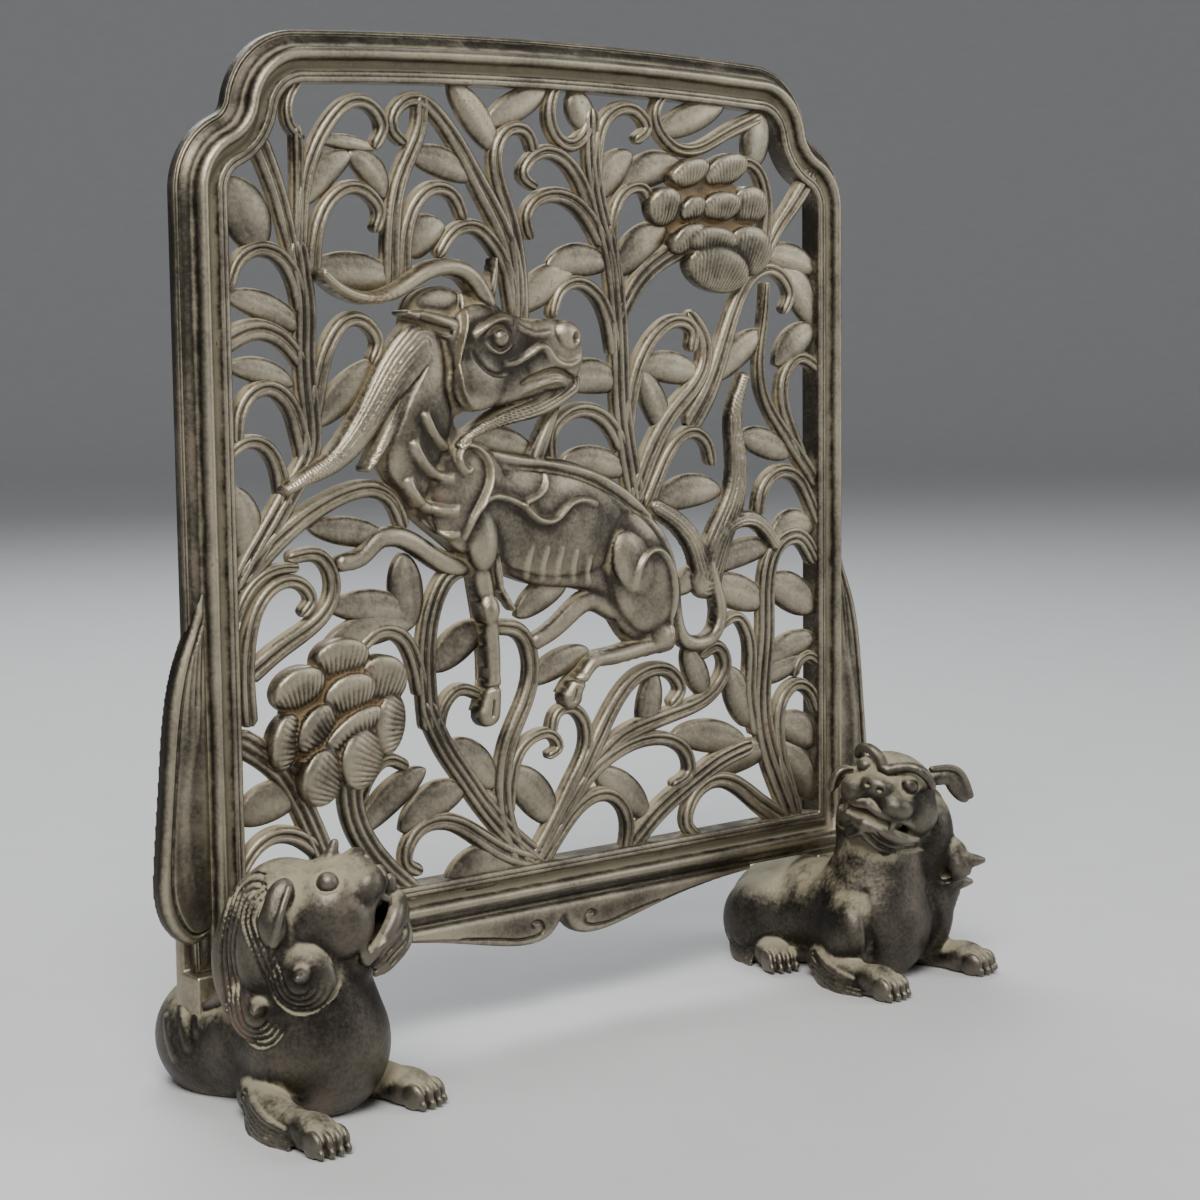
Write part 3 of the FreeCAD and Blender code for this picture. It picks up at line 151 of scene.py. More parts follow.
# Plain leaves between the stems: base, tip, width, and how far the middle bows to the left of that line.
LEAVES = (
    # Upper left
    (-65, 149, -52.5, 160, 5, 1.5), (-53, 160.3, -43.5, 150.8, 4.8, 1.5), (-61, 162.5, -46, 161, 2.4, 0.5),
    (-37.5, 160.5, -20, 155.5, 5, 0.8), (-37.5, 138.5, -28.5, 145.8, 6, 1.5), (-75, 139, -83, 154, 8, -0.5),
    (-84.2, 130.2, -65, 122.5, 4.4, 1.2), (-84.2, 115.5, -68, 111.3, 4, 1), (-63, 102.5, -45, 116, 5.4, 0.8),
    (-64, 135.3, -41, 133.3, 6, 0.8), (-84.3, 91, -80.5, 75, 6, 1.5),
    # Upper middle
    (-26, 176, -13.5, 161.5, 5.4, 0.5), (-16.5, 167.5, 0.5, 176, 5, 0), (8, 176, 13, 167, 5.5, 0),
    (0, 136.5, 18.5, 137, 5.6, 1.2), (-9, 126.5, 8, 136, 6, 1), (3, 110.3, 22, 109.5, 6, 1.5),
    (4, 92.5, 23.5, 89, 5.4, 0.8), (14, 152, 25.5, 162.8, 6, 0.8), (22, 155, 41, 160.5, 6, 1.4),
    (20, 135, 36, 146, 6.4, 0.8), (27, 113.5, 46.5, 110.8, 5.6, 0.8), (27.5, 112.5, 35.5, 97, 5.4, 0.5),
    # Upper right
    (33, 167.3, 55, 175.5, 5.4, 0), (66.5, 174.5, 63.5, 160, 6.4, 0), (67, 139.8, 84.8, 135.8, 5.2, 1.2),
    (71, 113, 84.8, 122, 6, 0.8), (73, 137, 84.5, 122.5, 6.4, 1.2), (50, 109.5, 67.5, 121, 5.4, 0.8),
    (59, 96, 76, 90.5, 5.4, 0.6), (31, 80.5, 53, 83, 6, 1.5),
    # Lower left
    (-65, 81, -45, 77.5, 4.6, 0.3), (-60, 63.3, -38, 60, 5.4, 1.2), (-62, 55, -38, 58.5, 5.4, 1.2),
    (-41, 74, -39.5, 57, 6.5, 0), (-84.8, 20.5, -68.5, 24.5, 6.4, 0.8), (-54, 13.5, -36, 25.5, 5.4, 1),
    (-43, 12.5, -25, 20, 6.4, 1.5), (-31, -0.8, -10, 0.6, 8, 1), (-29, 30.8, -16.5, 19, 6, 0.6),
    (-22, 18.3, -14, 11, 4.4, 0), (-34, 47.5, -19, 56.5, 6, 0.6),
    # Lower middle
    (-13, 22.5, 0.5, 8.5, 6.8, 0.8), (28, 25, 31.3, 41, 5.4, 0), (13, 19, 29, 6, 6, 0.8),
    (-10, 57.5, 5, 64.5, 5.2, 0.8), (-7, 41.8, 11, 48, 4.8, 0.6), (-24, 99.3, -4, 94, 5.2, 0.8),
    # Lower right
    (55, 39.5, 62.5, 24, 6.2, 0), (37, 24.8, 61, 20, 6, 0.8), (47, 14.5, 69, 18, 6, 0.8),
    (71, 24, 84.8, 17.5, 7, 0.8), (71.5, 19, 84.8, 3, 7, 0.8), (67, 39.8, 84.8, 44.5, 5, 0.8),
    (65.5, 35, 80, 39.5, 4.6, 0.4), (68, 60, 85, 51.5, 7, 0.5), (69, 70, 84.5, 72.5, 6, 1.8),
    (48, 64, 70, 68.5, 5, 1), (47, 60.5, 68, 54.2, 6.4, 0.6),
    (37, 59.3, 48, 65, 4.6, 0), (41, 46, 48, 33, 5.2, 0),
)

# Outline of the beast's head, neck and body, closed back to its first point.
BEAST_BODY = (
    (-41, 121), (-46, 112), (-48, 103), (-48, 95), (-44, 88.5), (-39, 82), (-32, 76.5), (-25, 71.5),
    (-16, 68), (-6, 64.5), (4, 63), (13, 60), (20, 51), (28, 46), (34.5, 47.5), (37, 57), (36, 67),
    (31.5, 75.5), (25.5, 82), (17, 87.5), (6, 91.8), (-8, 94.5), (-20, 97), (-28, 102.5), (-18, 105.3),
    (-6, 106.6), (2, 109), (6.3, 116.5), (4.5, 122.5), (-3, 124.6), (-13, 125.5), (-22, 129), (-32, 132),
    (-39, 129),
)

# The beast's limbs and hair, drawn like stems.
BEAST_LIMBS = {
    "mane": (9, 2, (-37, 119.5), (-43, 114), (-48.5, 107), (-54, 100.3), (-60, 95), (-67, 91.8), (-72, 89.5)),
    "horn": (3.6, 1.6, (-19.5, 128), (-22.5, 132.8), (-26.5, 135.5), (-31, 136), (-36.5, 134.5),
             (-42, 131.6), (-48, 129.5), (-54, 129.8), (-58.5, 131.5), (-62.5, 134.5)),
    "near leg": (6.5, 4.6, (-22.5, 76), (-21, 66), (-19.6, 57), (-18.9, 48), (-19, 41.5)),
    "near hoof": (4.6, 7.6, (-18.9, 44), (-19.3, 40), (-20, 36.5)),
    "far leg": (5, 3.4, (-20, 71), (-29, 70.8), (-36, 74.3), (-42.5, 77.6), (-48, 77.3), (-52.5, 74),
                (-57.5, 73)),
    "hind leg": (5.5, 4, (33, 48), (24, 47), (16, 46), (10.5, 45.3), (7, 42), (4.8, 39)),
    "hind hoof": (4, 7, (6.5, 42), (5, 40), (4, 37.8)),
    "far hind leg": (5.4, 3.6, (18, 57), (10, 59.6), (4.5, 56.7), (-1, 53.2), (-5, 51.5)),
    "tail": (3.8, 3.4, (36, 62), (36.8, 53), (39, 48.3), (44, 46.5), (49, 48.3), (51, 54), (49.5, 60),
             (47.5, 65)),
    "plume": (9, 2.4, (47, 62), (52, 73), (56.5, 82), (57, 92), (56.3, 101), (59.3, 110)),
    "tuft": (5, 4, (46, 62), (43, 70.5), (38, 76), (31, 80)),
    "curl": (5, 3, (46, 61), (50.5, 71.5), (56, 75.3), (62.5, 75.3), (69.5, 69)),
    "beard": (5, 1.4, (3, 110), (-5, 105.7), (-14, 103.3), (-22, 100.6), (-28.5, 97.2)),
}

# Petals of the two blossoms: middle, half length, half width, tilt in degrees, and steps towards the viewer.
LOWER_PETALS = (
    (-59.5, 40, 14, 13, 0, 0), (-59, 52.3, 6.2, 4.2, 0, 1), (-69.8, 47, 5.8, 4.2, 15, 1),
    (-48.8, 46.5, 5.8, 5.2, -10, 1), (-73.3, 36, 5.4, 3.8, 75, 1), (-46.8, 37, 6, 4.2, 80, 1),
    (-57.5, 44.5, 6, 4.2, 10, 2), (-66, 38, 5.4, 4, 45, 2), (-57, 36.5, 7.6, 3.4, 28, 2),
    (-65, 27.5, 5.6, 5.2, 60, 3), (-55, 30.3, 5.8, 5.4, 70, 3),
)
UPPER_PETALS = (
    (49, 148, 14, 10, 0, 0), (41.5, 158.3, 5.5, 3, 15, 1), (53, 159.3, 6.2, 3.4, 15, 1),
    (33.8, 150.3, 4.4, 4, 0, 1), (60.3, 151, 5.2, 4.2, 0, 1), (41.8, 149.8, 3.6, 2.8, 20, 2),
    (50.8, 150.6, 5.6, 3.2, 5, 2), (40.5, 143, 5, 3, 20, 2), (59.8, 140.3, 6.4, 5.2, -10, 2),
    (50, 136, 8.4, 4.8, -12, 2), (47.5, 142.3, 6.8, 3.2, -3, 3),
)

# Depths in the screen, back from the lip's face
SCROLL_FRONT = 0.5
SCROLL_BACK = 4.0
SEAT_FRONT = 2.8

panel_low, panel_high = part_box("scroll_panel")
ACROSS = (panel_high.x - panel_low.x) / (DRAWN_WIDTH * MM)
UPWARD = (panel_high.z - panel_low.z) / (DRAWN_HEIGHT * MM)
LIP_PLANE = panel_low.y / MM - SCROLL_FRONT


def to_row(points):
    """Points of the screen's own plane as metres in the row frame."""
    stretch = np.array([ACROSS, 1, UPWARD]) * MM
    return np.asarray(points) * stretch + np.array([0, LIP_PLANE * MM, panel_low.z])


def piece(name, points, faces, recess, body, node, slot):
    """A smooth mesh piece that stands for a CAD node, in the bronze of its slot; recess is 0 on crests and 1
    in hollows."""
    mesh = bpy.data.meshes.new(name)
    mesh.from_pydata(np.asarray(points).tolist(), [], faces if isinstance(faces, list) else faces.tolist())
    mesh.update()
    mesh.shade_smooth()
    layer = mesh.attributes.new("recess", "FLOAT", "POINT")
    layer.data.foreach_set("value", np.clip(recess, 0, 1).astype(np.float32))
    mesh.materials.append(BRONZES[slot])
    thing = bpy.data.objects.new(name, mesh)
    bpy.context.scene.collection.objects.link(thing)
    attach(thing, body)
    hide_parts(node)
    return thing


class Batch:
    """Collects parts of one mesh."""

    def __init__(self):
        self.points = []
        self.faces = []
        self.recess = []
        self.count = 0

    def add(self, points, faces, recess):
        points = np.asarray(points, float).reshape(-1, 3)
        self.points.append(points)
        self.recess.append(np.broadcast_to(recess, len(points)).astype(float))
        self.faces += [[corner + self.count for corner in face] for face in np.asarray(faces).tolist()]
        self.count += len(points)

    def rings(self, rings, recess, loop=False):
        """A skin over closed rings that follow each other; a loop joins the last ring to the first."""
        rings = np.asarray(rings)
        count, around = rings.shape[:2]
        grid = np.arange(count * around).reshape(count, around)
        after = np.roll(grid, -1, axis=1)
        if loop:
            low, high = grid, np.roll(grid, -1, axis=0)
            low_after, high_after = after, np.roll(after, -1, axis=0)
        else:
            low, high = grid[:-1], grid[1:]
            low_after, high_after = after[:-1], after[1:]
        quads = np.stack([low, low_after, high_after, high], axis=-1).reshape(-1, 4)
        self.add(rings.reshape(-1, 3), quads, np.asarray(recess).reshape(-1))

    def plate(self, outline, front, back, recess):
        """A flat plate with straight walls; the outline runs round to the left."""
        count = len(outline)
        near = [(x, front, z) for x, z in outline]
        far = [(x, back, z) for x, z in outline]
        index = np.arange(count)
        after = np.roll(index, -1)
        walls = np.stack([index, index + count, after + count, after], axis=-1)
        self.add(near + far, walls, recess)
        self.faces.append([corner + self.count - 2 * count for corner in range(count)])
        self.faces.append([corner + self.count - count for corner in range(count)][::-1])

    def finish(self, name, node, slot):
        """Makes all parts one piece of the screen."""
        points = to_row(np.concatenate(self.points))
        piece(name, points, self.faces, np.concatenate(self.recess), "screen", node, slot)


# Curves

def smooth_line(points, spacing):
    """Points about evenly spaced along the smooth curve through some points, and the share of the way at
    each."""
    points = np.asarray(points, float)
    spans = np.linalg.norm(np.diff(points, axis=0), axis=1)
    knots = np.concatenate([[0], np.cumsum(spans)])
    count = len(points)
    system = np.eye(count)
    bend = np.zeros_like(points)
    for i in range(1, count - 1):
        system[i, i - 1:i + 2] = spans[i - 1], 2 * (spans[i - 1] + spans[i]), spans[i]
        bend[i] = 6 * ((points[i + 1] - points[i]) / spans[i] - (points[i] - points[i - 1]) / spans[i - 1])
    bend = np.linalg.solve(system, bend)
    places = np.linspace(0, knots[-1], max(2, math.ceil(knots[-1] / spacing)) + 1)
    span = np.clip(np.searchsorted(knots, places, side="right") - 1, 0, count - 2)
    width = spans[span][:, None]
    past = places[:, None] - knots[span][:, None]
    left = width - past
    line = (bend[span] * left**3 + bend[span + 1] * past**3) / (6 * width)
    line += (points[span] / width - bend[span] * width / 6) * left
    line += (points[span + 1] / width - bend[span + 1] * width / 6) * past
    return line, places / knots[-1]


def smooth_loop(points, spacing):
    """Points along the smooth closed curve through some points."""
    overlap = 3
    wrapped = list(points[-overlap:]) + list(points) + list(points[:overlap])
    lengths = np.linalg.norm(np.diff(np.array(wrapped, float), axis=0), axis=1)
    line, share = smooth_line(wrapped, spacing)
    start = lengths[:overlap].sum() / lengths.sum()
    end = lengths[:overlap + len(points)].sum() / lengths.sum()
    return line[(share >= start) & (share < end - 1e-6)]


def directions(line):
    """Unit directions along a line of points."""
    along = np.gradient(line, axis=0)
    return along / np.linalg.norm(along, axis=1)[:, None]


# Frame

WINDOW_HALF = 84.0
STILE_HEIGHT = 151
# Turns of the lip at a top corner: radius, and degrees to the left
CORNER_TURNS = ((6, 65), (16, -55), (7, 76.8))
TOP_TILT = 3.2
RAIL_STEPS = 24
RAIL_END = 0.004
ARC_STEP = 4
FEWEST_ARC_STEPS = 8
# Section of the moulding on both sides of its bead: outwards from the lip, forwards from its face, and recess
INNER_SECTION = (
    (0, -6, 0.7), (0, -5.6, 0.6), (0, -2.5, 0.6), (0, -0.7, 0.5), (0.12, -0.25, 0.3), (0.4, 0, 0.2),
    (0.8, 0.12, 0.1), (1.15, 0.08, 0.2), (1.32, -0.12, 0.75), (1.5, 0.05, 0.25), (1.9, 0.1, 0.15),
    (2.25, -0.05, 0.3), (2.45, -0.4, 0.5), (2.75, -1.1, 0.8), (3.1, -1.6, 1), (3.7, -1.75, 1), (4.3, -1.6, 1),
)
OUTER_SECTION = (
    (7.7, -1.6, 1), (8.0, -1.75, 0.9), (8.4, -1.85, 0.55), (8.9, -2.1, 0.45), (9.4, -2.5, 0.45),
    (9.8, -2.9, 0.6), (10.0, -3.1, 0.8), (10.15, -2.9, 0.4), (10.35, -2.75, 0.1), (10.55, -2.95, 0.3),
    (10.68, -3.2, 0.8), (10.8, -3.1, 0.3), (10.95, -3.25, 0.2), (11, -3.6, 0.3), (11, -4.5, 0.5),
    (11, -5.6, 0.6), (10.8, -6, 0.6), (5.5, -6, 0.6),
)
BEAD_MIDDLE = 6
BEAD_HALF = 1.55
BEAD_LOW = -1.5
BEAD_HIGH = 1.3
BEAD_RECESS = 0.95
BEAD_ANGLES = np.arange(8, 180, 11.7)


def window_path():
    """Points along the lip and the outward direction at each; at the mitred corners it is the diagonal."""
    path = []

    def turn_by(at, heading, radius, turn):
        side = math.copysign(1, turn)
        start = math.radians(heading)
        centre = at + np.array([-math.sin(start), math.cos(start)]) * radius * side
        steps = max(FEWEST_ARC_STEPS, math.ceil(abs(turn) / ARC_STEP))
        for step in range(1, steps + 1):
            angle = math.radians(heading + turn * step / steps)
            outward = np.array([math.sin(angle), -math.cos(angle)])
            spot = centre + outward * radius * side
            path.append((spot, outward))
        return spot, heading + turn

    def straight(start, end, normal):
        for share in np.linspace(RAIL_END, 1 - RAIL_END, RAIL_STEPS):
            path.append((np.array(start) + (np.array(end) - start) * share, np.array(normal)))

    half = WINDOW_HALF
    straight((-half, 0.0), (half, 0.0), (0.0, -1.0))
    path.append((np.array([half, 0.0]), np.array([1.0, -1.0])))
    straight((half, 0.0), (half, STILE_HEIGHT), (1.0, 0.0))
    at, heading = np.array([half, STILE_HEIGHT]), 90
    for radius, turn in CORNER_TURNS:
        at, heading = turn_by(at, heading, radius, turn)
    at, heading = turn_by(at, heading, at[0] / math.sin(math.radians(TOP_TILT)), 2 * TOP_TILT)
    for radius, turn in CORNER_TURNS[::-1]:
        at, heading = turn_by(at, heading, radius, turn)
    straight((-half, STILE_HEIGHT), (-half, 0.0), (-1.0, 0.0))
    path.append((np.array([-half, 0.0]), np.array([-1.0, -1.0])))
    return path


def make_frame():
    bead = []
    for angle in np.radians(BEAD_ANGLES):
        rise = math.sin(angle)
        outward = BEAD_MIDDLE - BEAD_HALF * math.cos(angle)
        bead.append((outward, BEAD_LOW + (BEAD_HIGH - BEAD_LOW) * rise, BEAD_RECESS * (1 - rise)))
    section = np.array([*INNER_SECTION, *bead, *OUTER_SECTION])
    rings = []
    for spot, outward in window_path():
        sides = spot + section[:, :1] * outward
        rings.append(np.column_stack([sides[:, 0], -section[:, 1], sides[:, 1]]))
    skin = Batch()
    skin.rings(np.array(rings)[:, ::-1], np.tile(section[::-1, 2], (len(rings), 1)), loop=True)
    skin.finish("frame_moulding", "frame", "frame_bronze")


# Pierced scrolls

STEM_STEP = 1.0
STEM_POINTS = 15
# Stems wider than this on average have three ridges, others two
RIDGE_WIDTH = 5
RIDGE_POWER = 0.7
RIDGE_RECESS = 0.1
# Depth of a stem's grooves, and fall from its middle to its sides: share of the half width, and the most
GROOVE_SHARE = 0.55
GROOVE_MOST = 0.95
GROOVE_RECESS = 0.85
FALL_SHARE = 0.35
FALL_MOST = 0.6
# How much wider the finished stems and leaves are than the plain ones
STEM_FULLNESS = 1.15
LEAF_FULLNESS = 1.42
# A stem's side and back: share of its half width, depth and recess
STEM_SIDE = ((1, 2.4, 0.75), (0.97, 3.4, 0.9), (0.8, 3.9, 0.9), (0, SCROLL_BACK, 0.7))
STEM_MIDDLE = 2.2
END_THICKNESS = 0.45
CAP_ANGLES = (25, 50, 68, 80, 89)
ROOT_SINK = 0.5
ROOT_FADE = 5
ROOT_ROUND = 0.6
ROOT_NARROW = 0.75
LEAF_STEP = 0.9
LEAF_POINTS = 11
LEAF_FRONT = 1.0
LEAF_EDGE = 2.7
LEAF_POWER = 0.54
LEAF_TIP = 0.02
LEAF_END_RISE = 0.35
FEWEST_LEAF_ROWS = 10
CREASE_DEPTH = 0.3
CREASE_PLACE = 0.2
CREASE_WIDTH = 0.2
# A leaf's back from side to side: share of its half width, depth and recess
LEAF_BACK = ((0.96, 3.5, 0.9), (0.6, 3.85, 0.8), (0, SCROLL_BACK, 0.8), (-0.6, 3.85, 0.8), (-0.96, 3.5, 0.9))
# Seats behind the carvings; each is a little thinner than the one before, so that no backs lie in one plane
SEAT_STEP = 0.02
SEAT_SPACING = 1.5
SEAT_SHRINK = 0.75
SEAT_INSET = 0.3
SEAT_RECESS = 0.9


def stem_section(half, front, ridges):
    """Across a stem: sideways, back from the lip, and recess; rounded ridges in front, a domed back."""
    across = np.linspace(-1, 1, STEM_POINTS)
    wave = np.abs(np.sin(ridges * math.pi * (across + 1) / 2)) ** RIDGE_POWER
    groove = min(GROOVE_SHARE * half, GROOVE_MOST)
    fall = min(FALL_SHARE * half, FALL_MOST)
    depth = front + fall * across**2 + groove * (1 - wave)
    recess = RIDGE_RECESS + GROOVE_RECESS * (1 - wave)
    outline = list(zip(across, depth, recess))
    outline += STEM_SIDE
    outline += [(-side, y, deep) for side, y, deep in STEM_SIDE[-2::-1]]
    return np.array(outline) * (half, 1, 1)


def add_stem(skin, root_width, tip_width, points):
    """One tapering stem with round ends, its root a little lower than the stem it leaves."""
    line, share = smooth_line(points, STEM_STEP)
    along = directions(line)
    half = (root_width + (tip_width - root_width) * share) / 2
    length = np.concatenate([[0], np.cumsum(np.linalg.norm(np.diff(line, axis=0), axis=1))])
    ridges = 3 if root_width + tip_width > 2 * RIDGE_WIDTH else 2
    caps = np.radians(CAP_ANGLES)
    line = np.concatenate([line, line[-1] + along[-1] * half[-1] * np.sin(caps)[:, None]])
    along = np.concatenate([along, np.tile(along[-1], (len(caps), 1))])
    full = np.concatenate([half, np.full(len(caps), half[-1])])
    starting = np.clip(length / (ROOT_ROUND * half[0]), 0, 1)
    shrink = np.concatenate([np.sqrt(1 - ROOT_NARROW * (1 - starting) ** 2), np.cos(caps)])
    lower = np.concatenate([ROOT_SINK * np.exp(-length / ROOT_FADE), np.zeros(len(caps))])
    rings = []
    recess = []
    for spot, way, wide, thin, down in zip(line, along, full, shrink, lower):
        section = stem_section(wide, SCROLL_FRONT + down, ridges)
        left = np.array([-way[1], way[0]])
        thick = END_THICKNESS + (1 - END_THICKNESS) * thin
        depth = STEM_MIDDLE + (section[:, 1] - STEM_MIDDLE) * thick
        flat = spot + section[:, :1] * thin * left
        rings.append(np.column_stack([flat[:, 0], depth, flat[:, 1]]))
        recess.append(section[:, 2])
    skin.rings(rings, recess)


def add_leaf(skin, base_x, base_z, tip_x, tip_z, width, bow):
    """One plump leaf with a soft crease beside its middle and a domed back."""
    base, tip = np.array([base_x, base_z]), np.array([tip_x, tip_z])
    reach = np.linalg.norm(tip - base)
    along = (tip - base) / reach
    left = np.array([-along[1], along[0]])
    across = np.sin(np.linspace(-math.pi / 2, math.pi / 2, LEAF_POINTS))
    dome = np.sqrt(np.clip(1 - across**2, 0, 1))
    crease = CREASE_DEPTH * np.exp(-(((across - CREASE_PLACE) / CREASE_WIDTH) ** 2))
    back_across, back_depth, back_recess = np.array(LEAF_BACK).T
    rows = max(FEWEST_LEAF_ROWS, round(reach / LEAF_STEP))
    rings = []
    for place in (1 - np.cos(np.linspace(0, math.pi, rows))) / 2:
        bulge = 4 * place * (1 - place)
        swell = bulge**LEAF_POWER
        wide = max(LEAF_TIP, width / 2 * swell)
        rise = (LEAF_EDGE - LEAF_FRONT) * (LEAF_END_RISE + (1 - LEAF_END_RISE) * swell)
        depth = LEAF_EDGE - rise * dome**0.8 + crease * swell
        middle = base + along * reach * place + left * bow * bulge
        flat = middle + np.concatenate([across, back_across])[:, None] * wide * left
        rings.append(np.column_stack([flat[:, 0], np.concatenate([depth, back_depth]), flat[:, 1]]))
    recess = np.concatenate([0.75 - 0.7 * dome + 0.5 * crease, back_recess])
    skin.rings(rings, np.tile(recess, (rows, 1)))


def oval_outline(x, z, half_length, half_width, tilt, sides=28):
    angles = np.arange(sides) * 2 * math.pi / sides
    along, aside = turned(half_length * np.cos(angles), half_width * np.sin(angles), -tilt)
    return np.column_stack([x + along, z + aside])


def ribbon_outline(root_width, tip_width, points):
    line, share = smooth_line(points, SEAT_SPACING)
    along = directions(line)
    left = np.column_stack([-along[:, 1], along[:, 0]])
    half = ((root_width + (tip_width - root_width) * share) / 2)[:, None]
    return np.concatenate([line - left * half, (line + left * half)[::-1]])


def make_panel():
    skin = Batch()
    for root_width, tip_width, *points in STEMS:
        add_stem(skin, STEM_FULLNESS * root_width, STEM_FULLNESS * tip_width, points)
    for *ends, width, bow in LEAVES:
        add_leaf(skin, *ends, LEAF_FULLNESS * width, bow)
    seats = [smooth_loop(BEAST_BODY, SEAT_SPACING)]
    for root_width, tip_width, *points in BEAST_LIMBS.values():
        seats.append(ribbon_outline(SEAT_SHRINK * root_width, SEAT_SHRINK * tip_width, points))
    seats += [oval_outline(*petal[:5]) for petal in LOWER_PETALS + UPPER_PETALS]
    for number, outline in enumerate(seats):
        after = np.roll(outline, -1, axis=0)
        area = np.sum(outline[:, 0] * after[:, 1] - after[:, 0] * outline[:, 1])
        back = SCROLL_BACK - SEAT_STEP * (number + 1)
        skin.plate(outline if area > 0 else outline[::-1], SEAT_FRONT + SEAT_INSET, back, SEAT_RECESS)
    skin.finish("lotus_scrolls", "scroll_panel", "scroll_bronze")


# Carving

def soft_max(a, b, soft):
    """The larger of two heights, with the crease between them filled."""
    share = np.clip(0.5 + 0.5 * (a - b) / soft, 0, 1)
    return b + (a - b) * share + soft * share * (1 - share)


def blurred(values, reach):
    """Values averaged over a square or cube of cells, twice."""
    for _ in range(2):
        for axis in range(values.ndim):
            padding = [(reach + 1, reach) if side == axis else (0, 0) for side in range(values.ndim)]
            total = np.cumsum(np.pad(values, padding, mode="edge"), axis=axis)
            count = values.shape[axis]
            ahead = np.take(total, np.arange(count) + 2 * reach + 1, axis=axis)
            values = (ahead - np.take(total, np.arange(count), axis=axis)) / (2 * reach + 1)
    return values


def sampled(values, places):
    """Values of a grid at places given in cells, blended between the cells round each."""
    corner = np.floor(places).astype(int)
    share = places - corner
    total = np.zeros(len(places))
    for steps in np.ndindex(*[2] * values.ndim):
        weight = np.ones(len(places))
        index = []
        for axis, step in enumerate(steps):
            weight *= share[:, axis] if step else 1 - share[:, axis]
            index.append(np.clip(corner[:, axis] + step, 0, values.shape[axis] - 1))
        total += weight * values[tuple(index)]
    return total


def skin_of(field):
    """The surface where a field is zero: points in cells, and quads."""
    grid = openvdb.FloatGrid(FAR)
    grid.copyFromArray(np.ascontiguousarray(field, dtype=np.float32))
    points, _, quads = grid.convertToPolygons(isovalue=0.0)
    return points, quads


def main_shell(points, quads, recess):
    """Keeps the largest connected shell and drops the bubbles beside it."""
    shell = np.arange(len(points))
    while True:
        lowest = shell[quads].min(axis=1)
        joined = shell.copy()
        for corner in range(4):
            np.minimum.at(joined, quads[:, corner], lowest)
        joined = joined[joined]
        if (joined == shell).all():
            break
        shell = joined
    first = shell[quads[:, 0]]
    quads = quads[first == np.bincount(first).argmax()]
    used = np.unique(quads)
    return points[used], np.searchsorted(used, quads), recess[used]


def turned(dx, dz, tilt):
    """Offsets along and across a direction that is tilted up from the x axis by some degrees."""
    turn = math.radians(tilt)
    return dx * math.cos(turn) + dz * math.sin(turn), dz * math.cos(turn) - dx * math.sin(turn)


def mirrored(points, side, shift=0):
    return [(shift + side * x, z) for x, z in points]


def span_gaps(axes, line):
    """For each span of a line, at each place: the span's step, the way there from its start, how far along it
    the nearest point lies as a share, and the square of the distance from that point."""
    for start, end in zip(line, line[1:]):
        step = end - start
        way = [axis - at for axis, at in zip(axes, start)]
        part = np.clip(sum(a * b for a, b in zip(way, step)) / max(step @ step, 1e-9), 0, 1)
        yield step, way, part, sum((a - part * b) ** 2 for a, b in zip(way, step))


RELIEF_SPACING = 0.7
SPREAD_CELLS = 5
BARE_RISE = 0.6
EDGE_SOFT = 0.5
HOLLOW_REACH = 1.6
FLAT_RECESS = 0.32
HOLLOW_RECESS = 0.9
WALL_RECESS = 0.85


